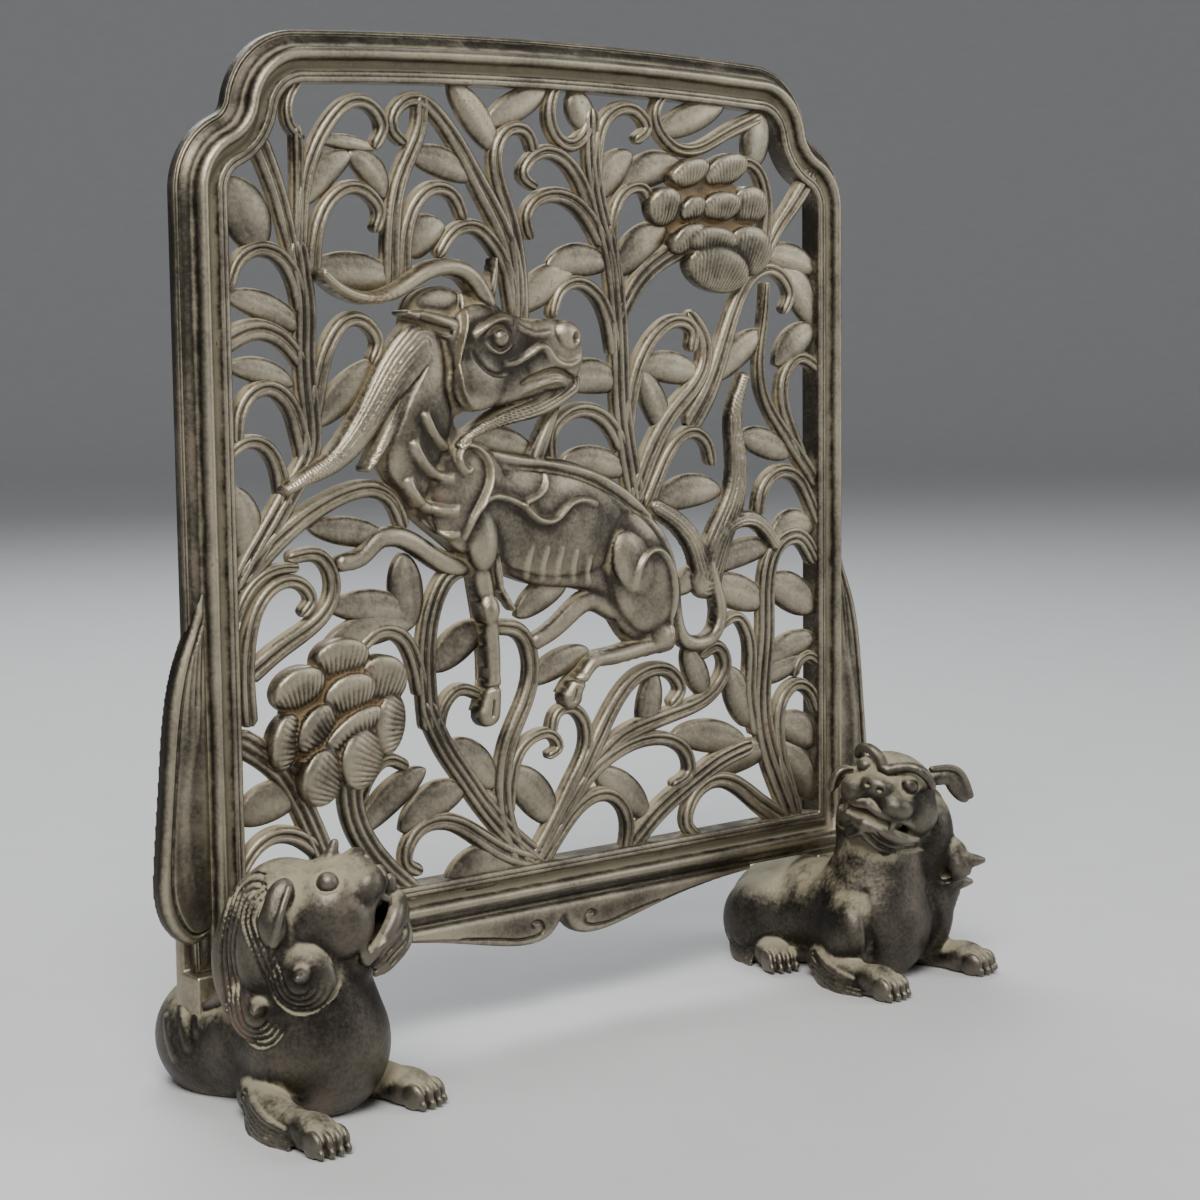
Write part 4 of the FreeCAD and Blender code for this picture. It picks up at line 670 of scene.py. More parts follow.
class Relief:
    """A carved plate with a flat back: on a grid of the drawing plane, how far each place rises in front of
    the back, and its distance outside the outline."""

    def __init__(self, low, high, step, rim=0.0):
        self.low, self.step, self.rim = np.array(low, float), step, rim
        self.axis_x = np.arange(low[0], high[0], step)
        self.axis_z = np.arange(low[1], high[1], step)
        shape = (len(self.axis_x), len(self.axis_z))
        self.rise = np.zeros(shape)
        self.edge = np.full(shape, FAR)

    def near(self, points, margin):
        """The cells round some points, and the coordinates there."""
        points = np.asarray(points, float)
        first = np.floor((points.min(0) - margin - self.low) / self.step).astype(int)
        last = np.ceil((points.max(0) + margin - self.low) / self.step).astype(int)
        first, last = np.clip(first, 0, self.rise.shape), np.clip(last, 0, self.rise.shape)
        cells = (slice(first[0], last[0]), slice(first[1], last[1]))
        return cells, self.axis_x[cells[0]][:, None], self.axis_z[cells[1]][None, :]

    def line(self, points, margin):
        """Distance from a smooth line, the share of the way along it, and 1 at its left, -1 at its right."""
        line, share = smooth_line(points, RELIEF_SPACING)
        cells, x, z = self.near(line, margin)
        best = np.full((x.size, z.size), FAR**2)
        place = np.zeros_like(best)
        side = np.ones_like(best)
        for (step, (dx, dz), part, gap), first, last in zip(span_gaps((x, z), line), share, share[1:]):
            closer = gap < best
            best = np.where(closer, gap, best)
            place = np.where(closer, first + part * (last - first), place)
            side = np.where(closer, np.sign(step[0] * dz - step[1] * dx), side)
        return cells, np.sqrt(best), place, side

    def inside(self, outline, margin):
        """Distance outside a closed outline, negative inside it."""
        closed = np.concatenate([outline, outline[:1]])
        cells, x, z = self.near(outline, margin)
        best = np.full((x.size, z.size), FAR**2)
        within = np.zeros(best.shape, bool)
        for start, end, (step, (dx, dz), _, gap) in zip(closed, closed[1:], span_gaps((x, z), closed)):
            best = np.minimum(best, gap)
            if start[1] != end[1]:
                crossing = (start[1] > z) != (end[1] > z)
                within ^= crossing & (dx < step[0] * dz / step[1])
        return cells, np.where(within, -1, 1) * np.sqrt(best)

    def lay(self, cells, form, soft):
        """Lays a form on what is there already."""
        self.rise[cells] = soft_max(self.rise[cells], form, soft)

    def widen(self, cells, away):
        """Takes a form into the outline."""
        self.edge[cells] = np.minimum(self.edge[cells], away)

    def lobe(self, outline, level, crest, slope, soft=0.5, outer=True, steep=0.5):
        """A domed form inside a closed outline: level at its rim, and crest higher where it is slope deep
        inside."""
        cells, away = self.inside(outline, 1.0 + self.rim)
        depth = np.clip(-away / slope, 0, 1)
        form = level + crest * (1 - (1 - depth) ** 2) ** steep
        self.lay(cells, np.where(away < self.rim, form, -FAR), soft)
        if outer:
            self.widen(cells, away)

    def swell(self, x, z, half_length, half_height, tilt, level, crest, soft):
        """An oval swelling."""
        reach = max(half_length, half_height)
        cells, gx, gz = self.near([(x - reach, z - reach), (x + reach, z + reach)], 0.5)
        along, aside = turned(gx - x, gz - z, tilt)
        share = 1 - (along / half_length) ** 2 - (aside / half_height) ** 2
        self.lay(cells, np.where(share > 0, level + crest * np.sqrt(np.clip(share, 0, 1)), -FAR), soft)

    def strand(self, root_width, tip_width, points, level, crest, soft=0.4, hairs=0, hair_depth=0.35,
               outer=True):
        """A tapering rounded strand; hairs are grooves along it."""
        cells, away, place, side = self.line(points, max(root_width, tip_width))
        half = (root_width + (tip_width - root_width) * place) / 2
        across = np.clip(away / half, 0, 1)
        form = level + crest * np.sqrt(1 - across**2)
        if hairs:
            groove = 0.5 - 0.5 * np.cos(math.pi * hairs * (across * side + 1))
            form -= hair_depth * groove * (1 - across**4)
        self.lay(cells, np.where(away < half, form, -FAR), soft)
        if outer:
            self.widen(cells, away - half)

    def ridge(self, points, width, height, taper=0.15):
        """Raises a line by a height, or cuts it in where that is negative, fading at its ends."""
        cells, away, place, _ = self.line(points, width)
        ends = np.clip(np.minimum(place, 1 - place) / taper, 0, 1)
        across = np.clip(away / (width / 2), 0, 1)
        self.rise[cells] += height * (1 - across**2) ** 2 * np.sqrt(ends)

    def pit(self, x, z, radius, depth):
        """A round hollow."""
        cells, gx, gz = self.near([(x - radius, z - radius), (x + radius, z + radius)], 0.5)
        share = np.clip(1 - ((gx - x) ** 2 + (gz - z) ** 2) / radius**2, 0, 1)
        self.rise[cells] -= depth * np.sqrt(share)

    def spread(self):
        """The heights, carried a few cells past the outline so that the rim is even."""
        rise = self.rise.copy()
        known = self.edge < self.rim
        for _ in range(SPREAD_CELLS):
            total = np.zeros_like(rise)
            count = np.zeros_like(rise)
            for shift in ((1, 0), (-1, 0), (0, 1), (0, -1), (1, 1), (-1, 1), (1, -1), (-1, -1)):
                near = np.roll(known, shift, axis=(0, 1))
                total += np.where(near, np.roll(rise, shift, axis=(0, 1)), 0)
                count += near
            fresh = ~known & (count > 0)
            rise = np.where(fresh, total / np.maximum(count, 1), rise)
            known = known | fresh
        return np.where(known, rise, BARE_RISE)

    def finish(self, name, back, node, slot):
        """Makes the carving one piece of the screen, with its flat side at a depth."""
        step = self.step
        rise = self.spread()
        slope_x, slope_z = np.gradient(rise, step)
        flatten = 1 / np.sqrt(1 + slope_x**2 + slope_z**2)
        depth = np.arange(-3 * step, rise.max() + 3 * step, step)
        front = (depth[None, :, None] - rise[:, None, :]) * flatten[:, None, :]
        walls = np.broadcast_to(self.edge[:, None, :], front.shape)
        field = np.maximum(soft_max(front, walls, EDGE_SOFT), -depth[None, :, None])
        points, quads = skin_of(field)
        cavity = blurred(rise, max(1, round(HOLLOW_REACH / step))) - rise
        hollow = sampled(cavity, points[:, [0, 2]])
        low = points[:, 1] * step + depth[0]
        wall = np.clip(1 - low / np.maximum(sampled(rise, points[:, [0, 2]]), 0.1), 0, 1)
        recess = np.clip(FLAT_RECESS + HOLLOW_RECESS * hollow, 0, 1) * (1 - wall) + WALL_RECESS * wall
        x = self.low[0] + points[:, 0] * step
        z = self.low[1] + points[:, 2] * step
        points = to_row(np.column_stack([x, back - low, z]))
        piece(name, points, quads[:, ::-1], recess, "screen", node, slot)


# Beast

BEAST_STEP = 0.34
# The head's own outline, standing over the neck
BEAST_HEAD = (
    (-31, 123.5), (-26, 127.5), (-19, 128), (-12, 125.5), (-6, 124), (-1, 125), (4, 123), (6.6, 118),
    (4.5, 113), (0, 109.5), (-7, 107), (-15, 105.6), (-23, 104.8), (-28.5, 108), (-31, 115),
)
# How limbs are carved: widths at root and tip, height of the edges, rise of the middle, softness of the join,
# and the number and depth of grooves along it
LIMBS_BEHIND = (
    ("far leg", 5.6, 4.0, 1.3, 2.0), ("far hind leg", 6.0, 4.2, 1.3, 2.0), ("tail", 4.2, 3.4, 1.6, 2.2),
    ("plume", 10, 2.9, 1.6, 2.0, 0.4, 8, 0.5), ("tuft", 6, 4.5, 1.6, 2.0, 0.4, 6, 0.5),
    ("curl", 6, 3.5, 1.6, 2.0, 0.4, 5, 0.5),
)
LIMBS_IN_FRONT = (
    ("mane", 12, 2.6, 2.6, 2.6, 0.4, 11, 0.42), ("near leg", 5.98, 3.68, 2.2, 2.8, 0.7),
    ("hind leg", 5.06, 3.2, 2.2, 2.8, 0.7), ("near hoof", 4.14, 6.46, 2.2, 2.8, 0.7),
    ("hind hoof", 3.6, 5.95, 2.2, 2.8, 0.7),
)
BEARD = ("beard", 7.2, 1.8, 3.6, 2.4, 0.4, 6, 0.75)
HORN = ("horn", 4.6, 2.2, 3.4, 2.6)
# Ears from root to tip, and lines of hair
NEAR_EAR = ((-28.5, 121.8), (-35.5, 124.6), (-42, 126.2))
EAR_HOLLOW = ((-30.5, 121.8), (-35, 123.4), (-39.5, 125.2))
FAR_EAR = ((-19, 127), (-17.2, 132), (-16.3, 138))
SECOND_MANE = ((-36, 117), (-42, 108), (-47.5, 99), (-52, 93))
ELBOW_HAIR = ((-18.6, 72), (-17.4, 67), (-17, 62.4))
NECK_HAIR = ((-36, 116), (-41.5, 108), (-45, 100))
NECK_SHIFTS = np.arange(0, 7, 1.1)
# Blades behind the body: width at the root, and ends
BEAST_BLADES = ((6, (-6, 91), (4, 112)), (3.6, (-19, 68.5), (-12.3, 59.5)))
# Swellings: middle, half length, half height, tilt in degrees, height of the rim, rise, softness of the join
TRUNK_SWELLS = (
    (-38, 103, 20, 8, 78, 3.1, 3.3, 1.4), (-25, 85, 11, 13, 20, 3.1, 3.7, 1.4),
    (-3, 78.5, 23, 12, -10, 3.1, 3.1, 1.4), (25, 65, 10, 15, 20, 3.1, 3.9, 1.4),
)
LEG_SWELLS = (
    (-22.6, 76, 4.2, 7, 8, 4.2, 3.4, 1.6), (-20.4, 60, 2.9, 3.4, 0, 3.6, 2.6, 1.2),
    (20.5, 68, 5.5, 8, 25, 5.0, 2.8, 1.5), (31, 49.5, 4, 3.4, 0, 3.4, 2.2, 1.0),
)
# Cheek, forehead, muzzle, side of the nose, eyelids and eye
HEAD_SWELLS = (
    (-24, 111, 7.2, 6.6, 0, 5.4, 3.0, 1.2), (-21, 120, 8.4, 7, -5, 5.6, 1.9, 1.2),
    (-3, 116.5, 9.2, 8, -8, 5.2, 3.1, 1.2), (0.6, 120.8, 3.8, 3.4, -20, 6.6, 2.6, 0.7),
    (-18.9, 120.4, 3.3, 2.5, 8, 6.5, 1.2, 0.3), (-18.5, 120.5, 2.1, 2.1, 0, 6.9, 2.2, 0.15),
)
# Nostril and pupil: middle, radius and depth
HEAD_PITS = ((2, 120.3, 1.3, 1.6), (-18.2, 120.6, 0.7, 0.6))
# Raised lines on the beast, or grooves where the height is negative: width, height and points
BEAST_RIDGES = (
    # Back
    (2.2, 0.7, (-20, 95.5), (-10, 93.2), (0, 91.7), (10, 89.3), (18, 85.8), (25, 80.8), (31, 74), (34.5, 66),
     (35.6, 57), (35, 50)),
    (1.6, -0.6, (-18, 93), (-9, 91.2), (0, 89.8), (9, 87.4), (17, 83.9), (24, 79), (29.6, 72.5), (33, 65)),
    # Curl on the haunch
    (2.4, 1.5, (20.5, 61), (20.4, 65.5), (23, 69.7), (27.2, 70.6), (31, 68), (33.3, 62.5), (33.8, 55),
     (32.6, 48)),
    # Flame on the shoulder
    (2.2, 2, (-25.4, 92.6), (-27.2, 91.4), (-29, 93.6), (-27, 97), (-22.8, 95.8), (-21, 91.5), (-23, 86),
     (-26.5, 80.5), (-28, 76)),
    (2.4, 1.6, (-25, 82.5), (-21, 85.4), (-16.5, 85), (-12, 83), (-7.5, 79.6), (-3, 79.4), (1, 82.3),
     (6, 83.4), (11, 82)),
    (2, 1.4, (-13, 83), (-8.5, 84.6), (-5, 87), (-4, 90.5)),
    # Lobes of the chest
    (3.4, 1.7, (-38.6, 105), (-37, 101), (-33.6, 97.6), (-30.6, 96.4)),
    (3.4, 1.7, (-41.6, 98.8), (-39.6, 94.6), (-35, 91), (-30.6, 90)),
    (3.4, 1.7, (-43, 90.6), (-40, 86), (-34.6, 83.2), (-29.6, 83)),
    (2.8, 1.4, (-38, 81), (-34, 77.6), (-29, 77.4)),
    # Ribs
    (2.4, 0.6, (-9, 74), (-9.6, 69), (-8.5, 65.5)),
    (2.4, 0.6, (-4.6, 73.5), (-5.3, 68.5), (-4, 64.8)),
    (2.4, 0.6, (-0.4, 73), (-1, 68), (0.4, 64.4)),
    (2.4, 0.6, (4, 72), (3.6, 67.6), (5, 64)),
    (2.4, 0.6, (8.4, 70.5), (8.2, 66.5), (9.4, 63)),
    # Lock in front of the ear
    (1.5, 1.9, (-25.6, 133), (-27, 127), (-29, 120), (-30, 113), (-28.6, 108), (-25, 104.6)),
    # Brow, lids and folds of the face
    (2.6, 1.9, (-26, 120.6), (-22.6, 123.4), (-18.5, 124.8), (-14.4, 124.2)),
    (1.2, 0.8, (-23, 119.6), (-19, 117.2), (-15, 119.2)),
    (1.2, -0.8, (-22.8, 120.6), (-19.2, 123), (-15.4, 121.6)),
    (2.2, 1.2, (-18, 114.6), (-12, 115.8), (-6.6, 118.4), (-4.6, 116), (1.6, 114.4), (5.6, 116.2)),
    (1.6, -1.2, (-13, 110), (-8, 112.2), (-3.6, 113.2), (1.2, 111.8), (4, 111)),
    (1.8, 0.9, (-12.6, 108.2), (-7, 110), (-2, 110.6), (1.6, 109.2)),
    (1.6, -0.7, (-26, 118), (-23.5, 114), (-19, 112.4), (-15, 113)),
    (1.8, 0.8, (-13.6, 123.4), (-9, 121.4), (-4, 122)),
)
# Grooves across the hooves: width, depth and points
BEAST_CUTS = (
    (1.2, 0.8, (-22.5, 41.5), (-19, 42.6), (-15.5, 41.5)),
    (1, 0.9, (-19.6, 40), (-20.2, 35.5)),
    (1.2, 0.8, (1.8, 43.5), (5, 41.5), (8.6, 40.5)),
    (1, 0.9, (4.4, 40), (3.4, 36.6)),
)


def make_beast():
    relief = Relief((-76, 31), (74, 142), BEAST_STEP)

    def carve_limbs(limbs):
        for name, root_width, tip_width, *form in limbs:
            relief.strand(root_width, tip_width, BEAST_LIMBS[name][2:], *form)

    def carve_swells(swells):
        for swell in swells:
            relief.swell(*swell)

    carve_limbs(LIMBS_BEHIND)
    for width, *points in BEAST_BLADES:
        relief.strand(width, 1.2, points, level=1.8, crest=1.8, hairs=3)
    relief.lobe(smooth_loop(BEAST_BODY, 0.8), level=2.1, crest=1.8, slope=4.5)
    carve_swells(TRUNK_SWELLS)
    carve_limbs(LIMBS_IN_FRONT)
    relief.strand(7.4, 1.6, SECOND_MANE, level=3.0, crest=2.4, hairs=7, hair_depth=0.4)
    carve_swells(LEG_SWELLS)
    relief.strand(3.4, 0.8, ELBOW_HAIR, level=3.4, crest=2.0, hairs=3, hair_depth=0.4, outer=False)
    # Head over the neck, then its beard, ears and horn
    relief.lobe(smooth_loop(BEAST_HEAD, 0.6), level=4.3, crest=2.6, slope=4.2, soft=0.4, outer=False)
    carve_swells(HEAD_SWELLS)
    for pit in HEAD_PITS:
        relief.pit(*pit)
    carve_limbs([BEARD])
    relief.strand(6.4, 1.2, NEAR_EAR, level=4.2, crest=2.6)
    relief.ridge(EAR_HOLLOW, width=3.2, height=-2.2)
    relief.strand(4.2, 1.0, FAR_EAR, level=1.8, crest=2.2)
    carve_limbs([HORN])
    # Lines over all of it
    for width, height, *points in BEAST_RIDGES:
        relief.ridge(points, width, height, taper=0.3)
    for width, depth, *points in BEAST_CUTS:
        relief.ridge(points, width, -depth)
    for shift in NECK_SHIFTS:
        relief.ridge([(x - shift, z - shift) for x, z in NECK_HAIR], width=0.9, height=-0.35)
    relief.finish("beast_carving", SEAT_FRONT, "beast", "beast_bronze")


# Blossoms

PETAL_CELL = 0.25
PETAL_FULLNESS = 1.16
PETAL_SIDES = 40
PETAL_BASE = 2.0
PETAL_LIFT = 0.6
PETAL_DOME = 1.9
PETAL_LEAN = 1.2
RIB_DEPTH = 0.6
RIB_FAN = 0.35


def make_blossom(name, node, petals, rib_spacing):
    """Oval petals over a calyx, each leaning out at its top and ribbed below, the later ones in front."""
    middles = np.array([petal[:2] for petal in petals[1:]], float)
    reach = max(max(petal[2:4]) for petal in petals) + 2
    relief = Relief(middles.min(0) - reach, middles.max(0) + reach, PETAL_CELL)
    relief.lobe(oval_outline(*petals[0][:5]), level=1.2, crest=0.9, slope=3)
    for x, z, half_length, half_width, tilt, steps in petals[1:]:
        half_length, half_width = PETAL_FULLNESS * half_length, PETAL_FULLNESS * half_width
        cells, away = relief.inside(oval_outline(x, z, half_length, half_width, tilt, PETAL_SIDES), 1.0)
        gx, gz = relief.axis_x[cells[0]][:, None], relief.axis_z[cells[1]][None, :]
        along, aside = turned(gx - x, gz - z, tilt)
        hood = aside / half_width
        depth = np.clip(-away / (0.8 * half_width), 0, 1)
        form = PETAL_BASE + PETAL_LIFT * steps + PETAL_DOME * np.sqrt(1 - (1 - depth) ** 2)
        form += PETAL_LEAN * hood
        fan = along / (1 + RIB_FAN * hood)
        ribs = (1 - np.abs(np.sin(math.pi * fan / rib_spacing)) ** 0.6) * np.clip(-away, 0, 1)
        form -= RIB_DEPTH * ribs * np.clip(0.75 - hood, 0, 1)
        relief.lay(cells, np.where(away < 0, form, -FAR), 0.25)
        relief.widen(cells, away)
    relief.finish(name, SEAT_FRONT, node, "blossom_bronze")


# Wings and apron

PLATE_CELL = 0.3
PLATE_RIM = 0.9
EDGE_SPACING = 0.8
# The right wing: outer edge, its end at the stile, groove along the edge, and swelling inside it
WING_EDGE = (
    (92.0, 71.5), (94.3, 63), (97.55, 55), (101.6, 31.7), (103.4, 12.7), (101.4, -0.45), (95.85, -4.5),
    (90.7, -1.8),
)
WING_END = (90.7, 71)
WING_GROOVE = ((91.6, 64), (95.4, 54.5), (99.2, 31.7), (100.8, 12.7), (99, 1.2), (95.6, -2.2), (91, -0.6))
WING_SWELL = ((92.6, 48), (96.6, 31), (97.6, 13), (96.4, 4))
WING_BACK = 5.0


def make_wing(name, node, side):
    edge = smooth_line(WING_EDGE, EDGE_SPACING)[0]
    outline = np.array(mirrored([*edge, WING_END], side))
    relief = Relief(outline.min(0) - 2, outline.max(0) + 2, PLATE_CELL, rim=PLATE_RIM)
    relief.lobe(outline, level=2.6, crest=1.2, slope=2, steep=1)
    relief.ridge(mirrored(WING_GROOVE, side), width=1.1, height=-0.7, taper=0.05)
    relief.ridge(mirrored(WING_SWELL, side), width=3.4, height=0.35, taper=0.3)
    for spread in (0, 1.1, 2.2):
        fold = ((92 + 0.2 * spread, 64), (92.6 + spread, 52), (93.4 + 1.3 * spread, 38))
        relief.ridge(mirrored(fold, side), width=0.9, height=-0.35, taper=0.4)
    relief.finish(name, WING_BACK, node, "frame_bronze")


# Half of the apron from its end to the middle, and the grooves of that half
APRON_HALF = ((60, -12.0), (36, -14.7), (18, -18.5), (9, -19.5), (3.6, -18.25), (0, -14.5))
APRON_TOP = ((-60, -10.4), (60, -10.4))
APRON_CURL = ((30, -14.6), (18, -16.7), (9.5, -17.6), (6.2, -16.2), (7.2, -14.2), (9.4, -14.6), (9, -15.8))
APRON_BORDER = ((56, -12.2), (36, -13.9), (20, -16.8))
APRON_SHIFT = 2.5
APRON_BACK = 5.5


def make_apron():
    half = smooth_line(APRON_HALF, EDGE_SPACING)[0]
    outline = np.concatenate([half, mirrored(half, -1)[-2::-1], APRON_TOP]) + (APRON_SHIFT, 0)
    relief = Relief(outline.min(0) - 2, outline.max(0) + 2, PLATE_CELL, rim=PLATE_RIM)
    relief.lobe(outline, level=2.8, crest=1.1, slope=1.8, steep=1)
    for side in (-1, 1):
        relief.ridge(mirrored(APRON_CURL, side, APRON_SHIFT), width=1.1, height=-0.8, taper=0.08)
        relief.ridge(mirrored(APRON_BORDER, side, APRON_SHIFT), width=0.9, height=-0.4, taper=0.2)
    relief.finish("apron_carving", APRON_BACK, "apron", "frame_bronze")


# Rests

REST_PLATE = 3 * MM
REST_LEDGE = 10 * MM
REST_EASE = 0.7 * MM


def make_rest(name, node, body):
    """The bracket behind a lion's mane, with eased edges."""
    low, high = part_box(node)
    plate_front = high.y - REST_PLATE
    ledge_top = low.z + REST_LEDGE
    side = (
        (low.y, low.z), (high.y, low.z), (high.y, high.z), (plate_front, high.z), (plate_front, ledge_top),
        (low.y, ledge_top),
    )
    points = [(x, y, z) for x in (low.x, high.x) for y, z in side]
    count = len(side)
    faces = [list(range(count - 1, -1, -1)), list(range(count, 2 * count))]
    for corner in range(count):
        after = (corner + 1) % count
        faces.append([after, after + count, corner + count, corner])
    thing = piece(name, points, faces, np.zeros(len(points)), body, node, "frame_bronze")
    bevel = thing.modifiers.new("eased edges", "BEVEL")
    bevel.width = REST_EASE
    bevel.segments = 3


# Lions

CLAY_SPACING = 1.0
CLAY_REACH = 1.3
CLAY_RECESS = 0.42
CLAY_CONTRAST = 0.75
SETTLE_STEPS = 6
SETTLE_FARTHEST = 1.5
COMB_SPACING = 1.25
COMB_DEPTH = 0.55
COMB_FADE = 0.5
COMB_BEHIND = -7


class Clay:
    """A solid on a grid of cells, kept as the distance outside its surface, negative within."""

    def __init__(self, low, high, step):
        self.low, self.step = np.array(low, float), step
        counts = [math.ceil((b - a) / step) + 1 for a, b in zip(low, high)]
        self.field = np.full(counts, FAR, np.float32)

    def near(self, low, high):
        """The cells of a box, and the coordinates there."""
        shape = self.field.shape
        first = np.clip(np.floor((low - self.low) / self.step).astype(int), 0, shape)
        last = np.clip(np.ceil((high - self.low) / self.step).astype(int) + 1, 0, shape)
        cells = tuple(slice(a, b) for a, b in zip(first, last))
        axes = [self.low[i] + self.step * np.arange(first[i], last[i]) for i in range(3)]
        return cells, np.meshgrid(*axes, indexing="ij", sparse=True)

    def merge(self, cells, form, soft, cut):
        if cut:
            self.field[cells] = soft_max(self.field[cells], -form, soft)
        else:
            self.field[cells] = -soft_max(-self.field[cells], -form, soft)

    def ball(self, at, radii, turn=np.eye(3), soft=1.0, cut=False):
        """Adds or cuts an ellipsoid; the columns of turn are its own axes."""
        at, radii = np.array(at, float), np.array(radii, float)
        reach = np.sqrt(((turn * radii) ** 2).sum(axis=1)) + soft + 2 * self.step
        cells, (x, y, z) = self.near(at - reach, at + reach)
        outer = inner = 0
        for axis in range(3):
            own = (x - at[0]) * turn[0, axis] + (y - at[1]) * turn[1, axis] + (z - at[2]) * turn[2, axis]
            outer = outer + (own / radii[axis]) ** 2
            inner = inner + (own / radii[axis] ** 2) ** 2
        outer, inner = np.sqrt(outer), np.sqrt(inner)
        self.merge(cells, outer * (outer - 1) / np.maximum(inner, 1e-6), soft, cut)

    def strand(self, points, root, tip, soft, cut=False):
        """Adds or cuts a tapering strand along a smooth line; root and tip are its radii."""
        line, share = smooth_line(points, CLAY_SPACING)
        thick = root + (tip - root) * share
        margin = max(root, tip) + soft + 2 * self.step
        cells, axes = self.near(line.min(0) - margin, line.max(0) + margin)
        form = FAR
        for (_, _, part, gap), first, last in zip(span_gaps(axes, line), thick, thick[1:]):
            form = np.minimum(form, np.sqrt(gap) - (first + part * (last - first)))
        self.merge(cells, form, soft, cut)

    def settle(self, points, sink=0.0):
        """Points moved straight to the surface near them, or to a depth below it."""
        slope = np.array([1.0, 1.0, 1.0])
        settled = []
        for point in np.array(points, float):
            for _ in range(SETTLE_STEPS):
                cell = ((point - self.low) / self.step)[None]
                value = sampled(self.field, cell)[0]
                for axis in range(3):
                    nudge = np.eye(3)[axis][None]
                    slope[axis] = (sampled(self.field, cell + nudge) - sampled(self.field, cell - nudge))[0]
                length = np.linalg.norm(slope)
                if length < 1e-6:
                    break
                point = point - np.clip(value + sink, -SETTLE_FARTHEST, SETTLE_FARTHEST) * slope / length
            settled.append(point)
        return np.array(settled)

    def lock(self, points, root, tip, soft, sink=0.0, cut=False):
        """A strand that lies half sunk, or deeper, in the surface near its points."""
        self.strand(self.settle(points, sink), root, tip, soft, cut)

    def comb(self, points, out, first, last):
        """Grooves beside a line as seen along out, at its right and round its end, between two distances."""
        across = np.cross((0, 0, 1), out)
        across /= np.linalg.norm(across)
        steep = np.cross(out, across)
        line, _ = smooth_line(points, CLAY_SPACING)
        flat = np.column_stack([line @ across, line @ steep])
        cells, (x, y, z) = self.near(line.min(0) - last - 3, line.max(0) + last + 3)
        places = [x * way[0] + y * way[1] + z * way[2] for way in (across, steep, out)]
        best = np.full(places[0].shape, FAR**2)
        aside, over = np.zeros_like(best), np.zeros_like(best)
        for (step, (du, dv), _, gap), start in zip(span_gaps(places[:2], flat), line):
            nearer = gap < best
            best = np.where(nearer, gap, best)
            aside = np.where(nearer, (step[1] * du - step[0] * dv) / np.linalg.norm(step), aside)
            over = np.where(nearer, places[2] - start @ out, over)
        best = np.sqrt(best)
        past_end = (places[0] - flat[-1, 0]) * step[0] + (places[1] - flat[-1, 1]) * step[1] > 0
        reach = np.where(past_end, np.clip(4 + 4 * aside / np.maximum(best, 0.1), 0, 1), aside > 0)
        fade = np.clip((best - first) / COMB_FADE, 0, 1) * np.clip((last - best) / COMB_FADE, 0, 1)
        fade = fade * reach * (over > COMB_BEHIND)
        groove = np.abs(np.sin(math.pi * (best - first) / COMB_SPACING)) ** 1.2
        self.field[cells] += (COMB_DEPTH * groove * fade).astype(np.float32)

    def mesh(self):
        """Points, quads and recess of the largest shell."""
        points, quads = skin_of(self.field)
        around = blurred(np.clip(self.field, -3, 3), max(1, round(CLAY_REACH / self.step)))
        recess = CLAY_RECESS - CLAY_CONTRAST * sampled(around, points)
        return main_shell(self.low + points * self.step, quads, recess)


LION_SPACING = 163
LION_STEP = 0.36
# The way towards a viewer at the front left, as a lion's own inward, back and up
VIEWED = (-0.75, -0.65, 0)
FORELEG = (4.8, 3.5, 1.6)
PAW_TOES = 4
PAW_WIDTH = 9
BEARD_ROWS = 5
TUFT_LOCKS = 6
BROW_STEPS = ((-2.6, 0.4, 3.4), (0.4, 0, 4.2), (3, -1.6, 3), (4, -4.4, 0.8))


def unit(way):
    return np.array(way, float) / np.linalg.norm(way)


class Head:
    """Places on a lion's head: to its inner side, forward along its face and up, from the skull's middle."""

    def __init__(self, at, turn, lift, roll, height):
        yaw, pitch, tilt = (math.radians(angle) for angle in (turn, lift, roll))
        across = np.array([math.cos(yaw), math.sin(yaw), 0])
        level = np.array([math.sin(yaw), -math.cos(yaw), 0])
        forward = level * math.cos(pitch) + np.array([0, 0, math.sin(pitch)])
        up = np.cross(forward, across)
        inner = across * math.cos(tilt) + up * math.sin(tilt)
        upper = up * math.cos(tilt) - across * math.sin(tilt)
        self.at, self.height = np.array(at, float), height
        self.axes = np.array([inner, forward, upper]).T

    def spot(self, place):
        return self.at + self.axes @ (np.array(place, float) * (1, 1, self.height))

    def path(self, places):
        return [self.spot(place) for place in places]


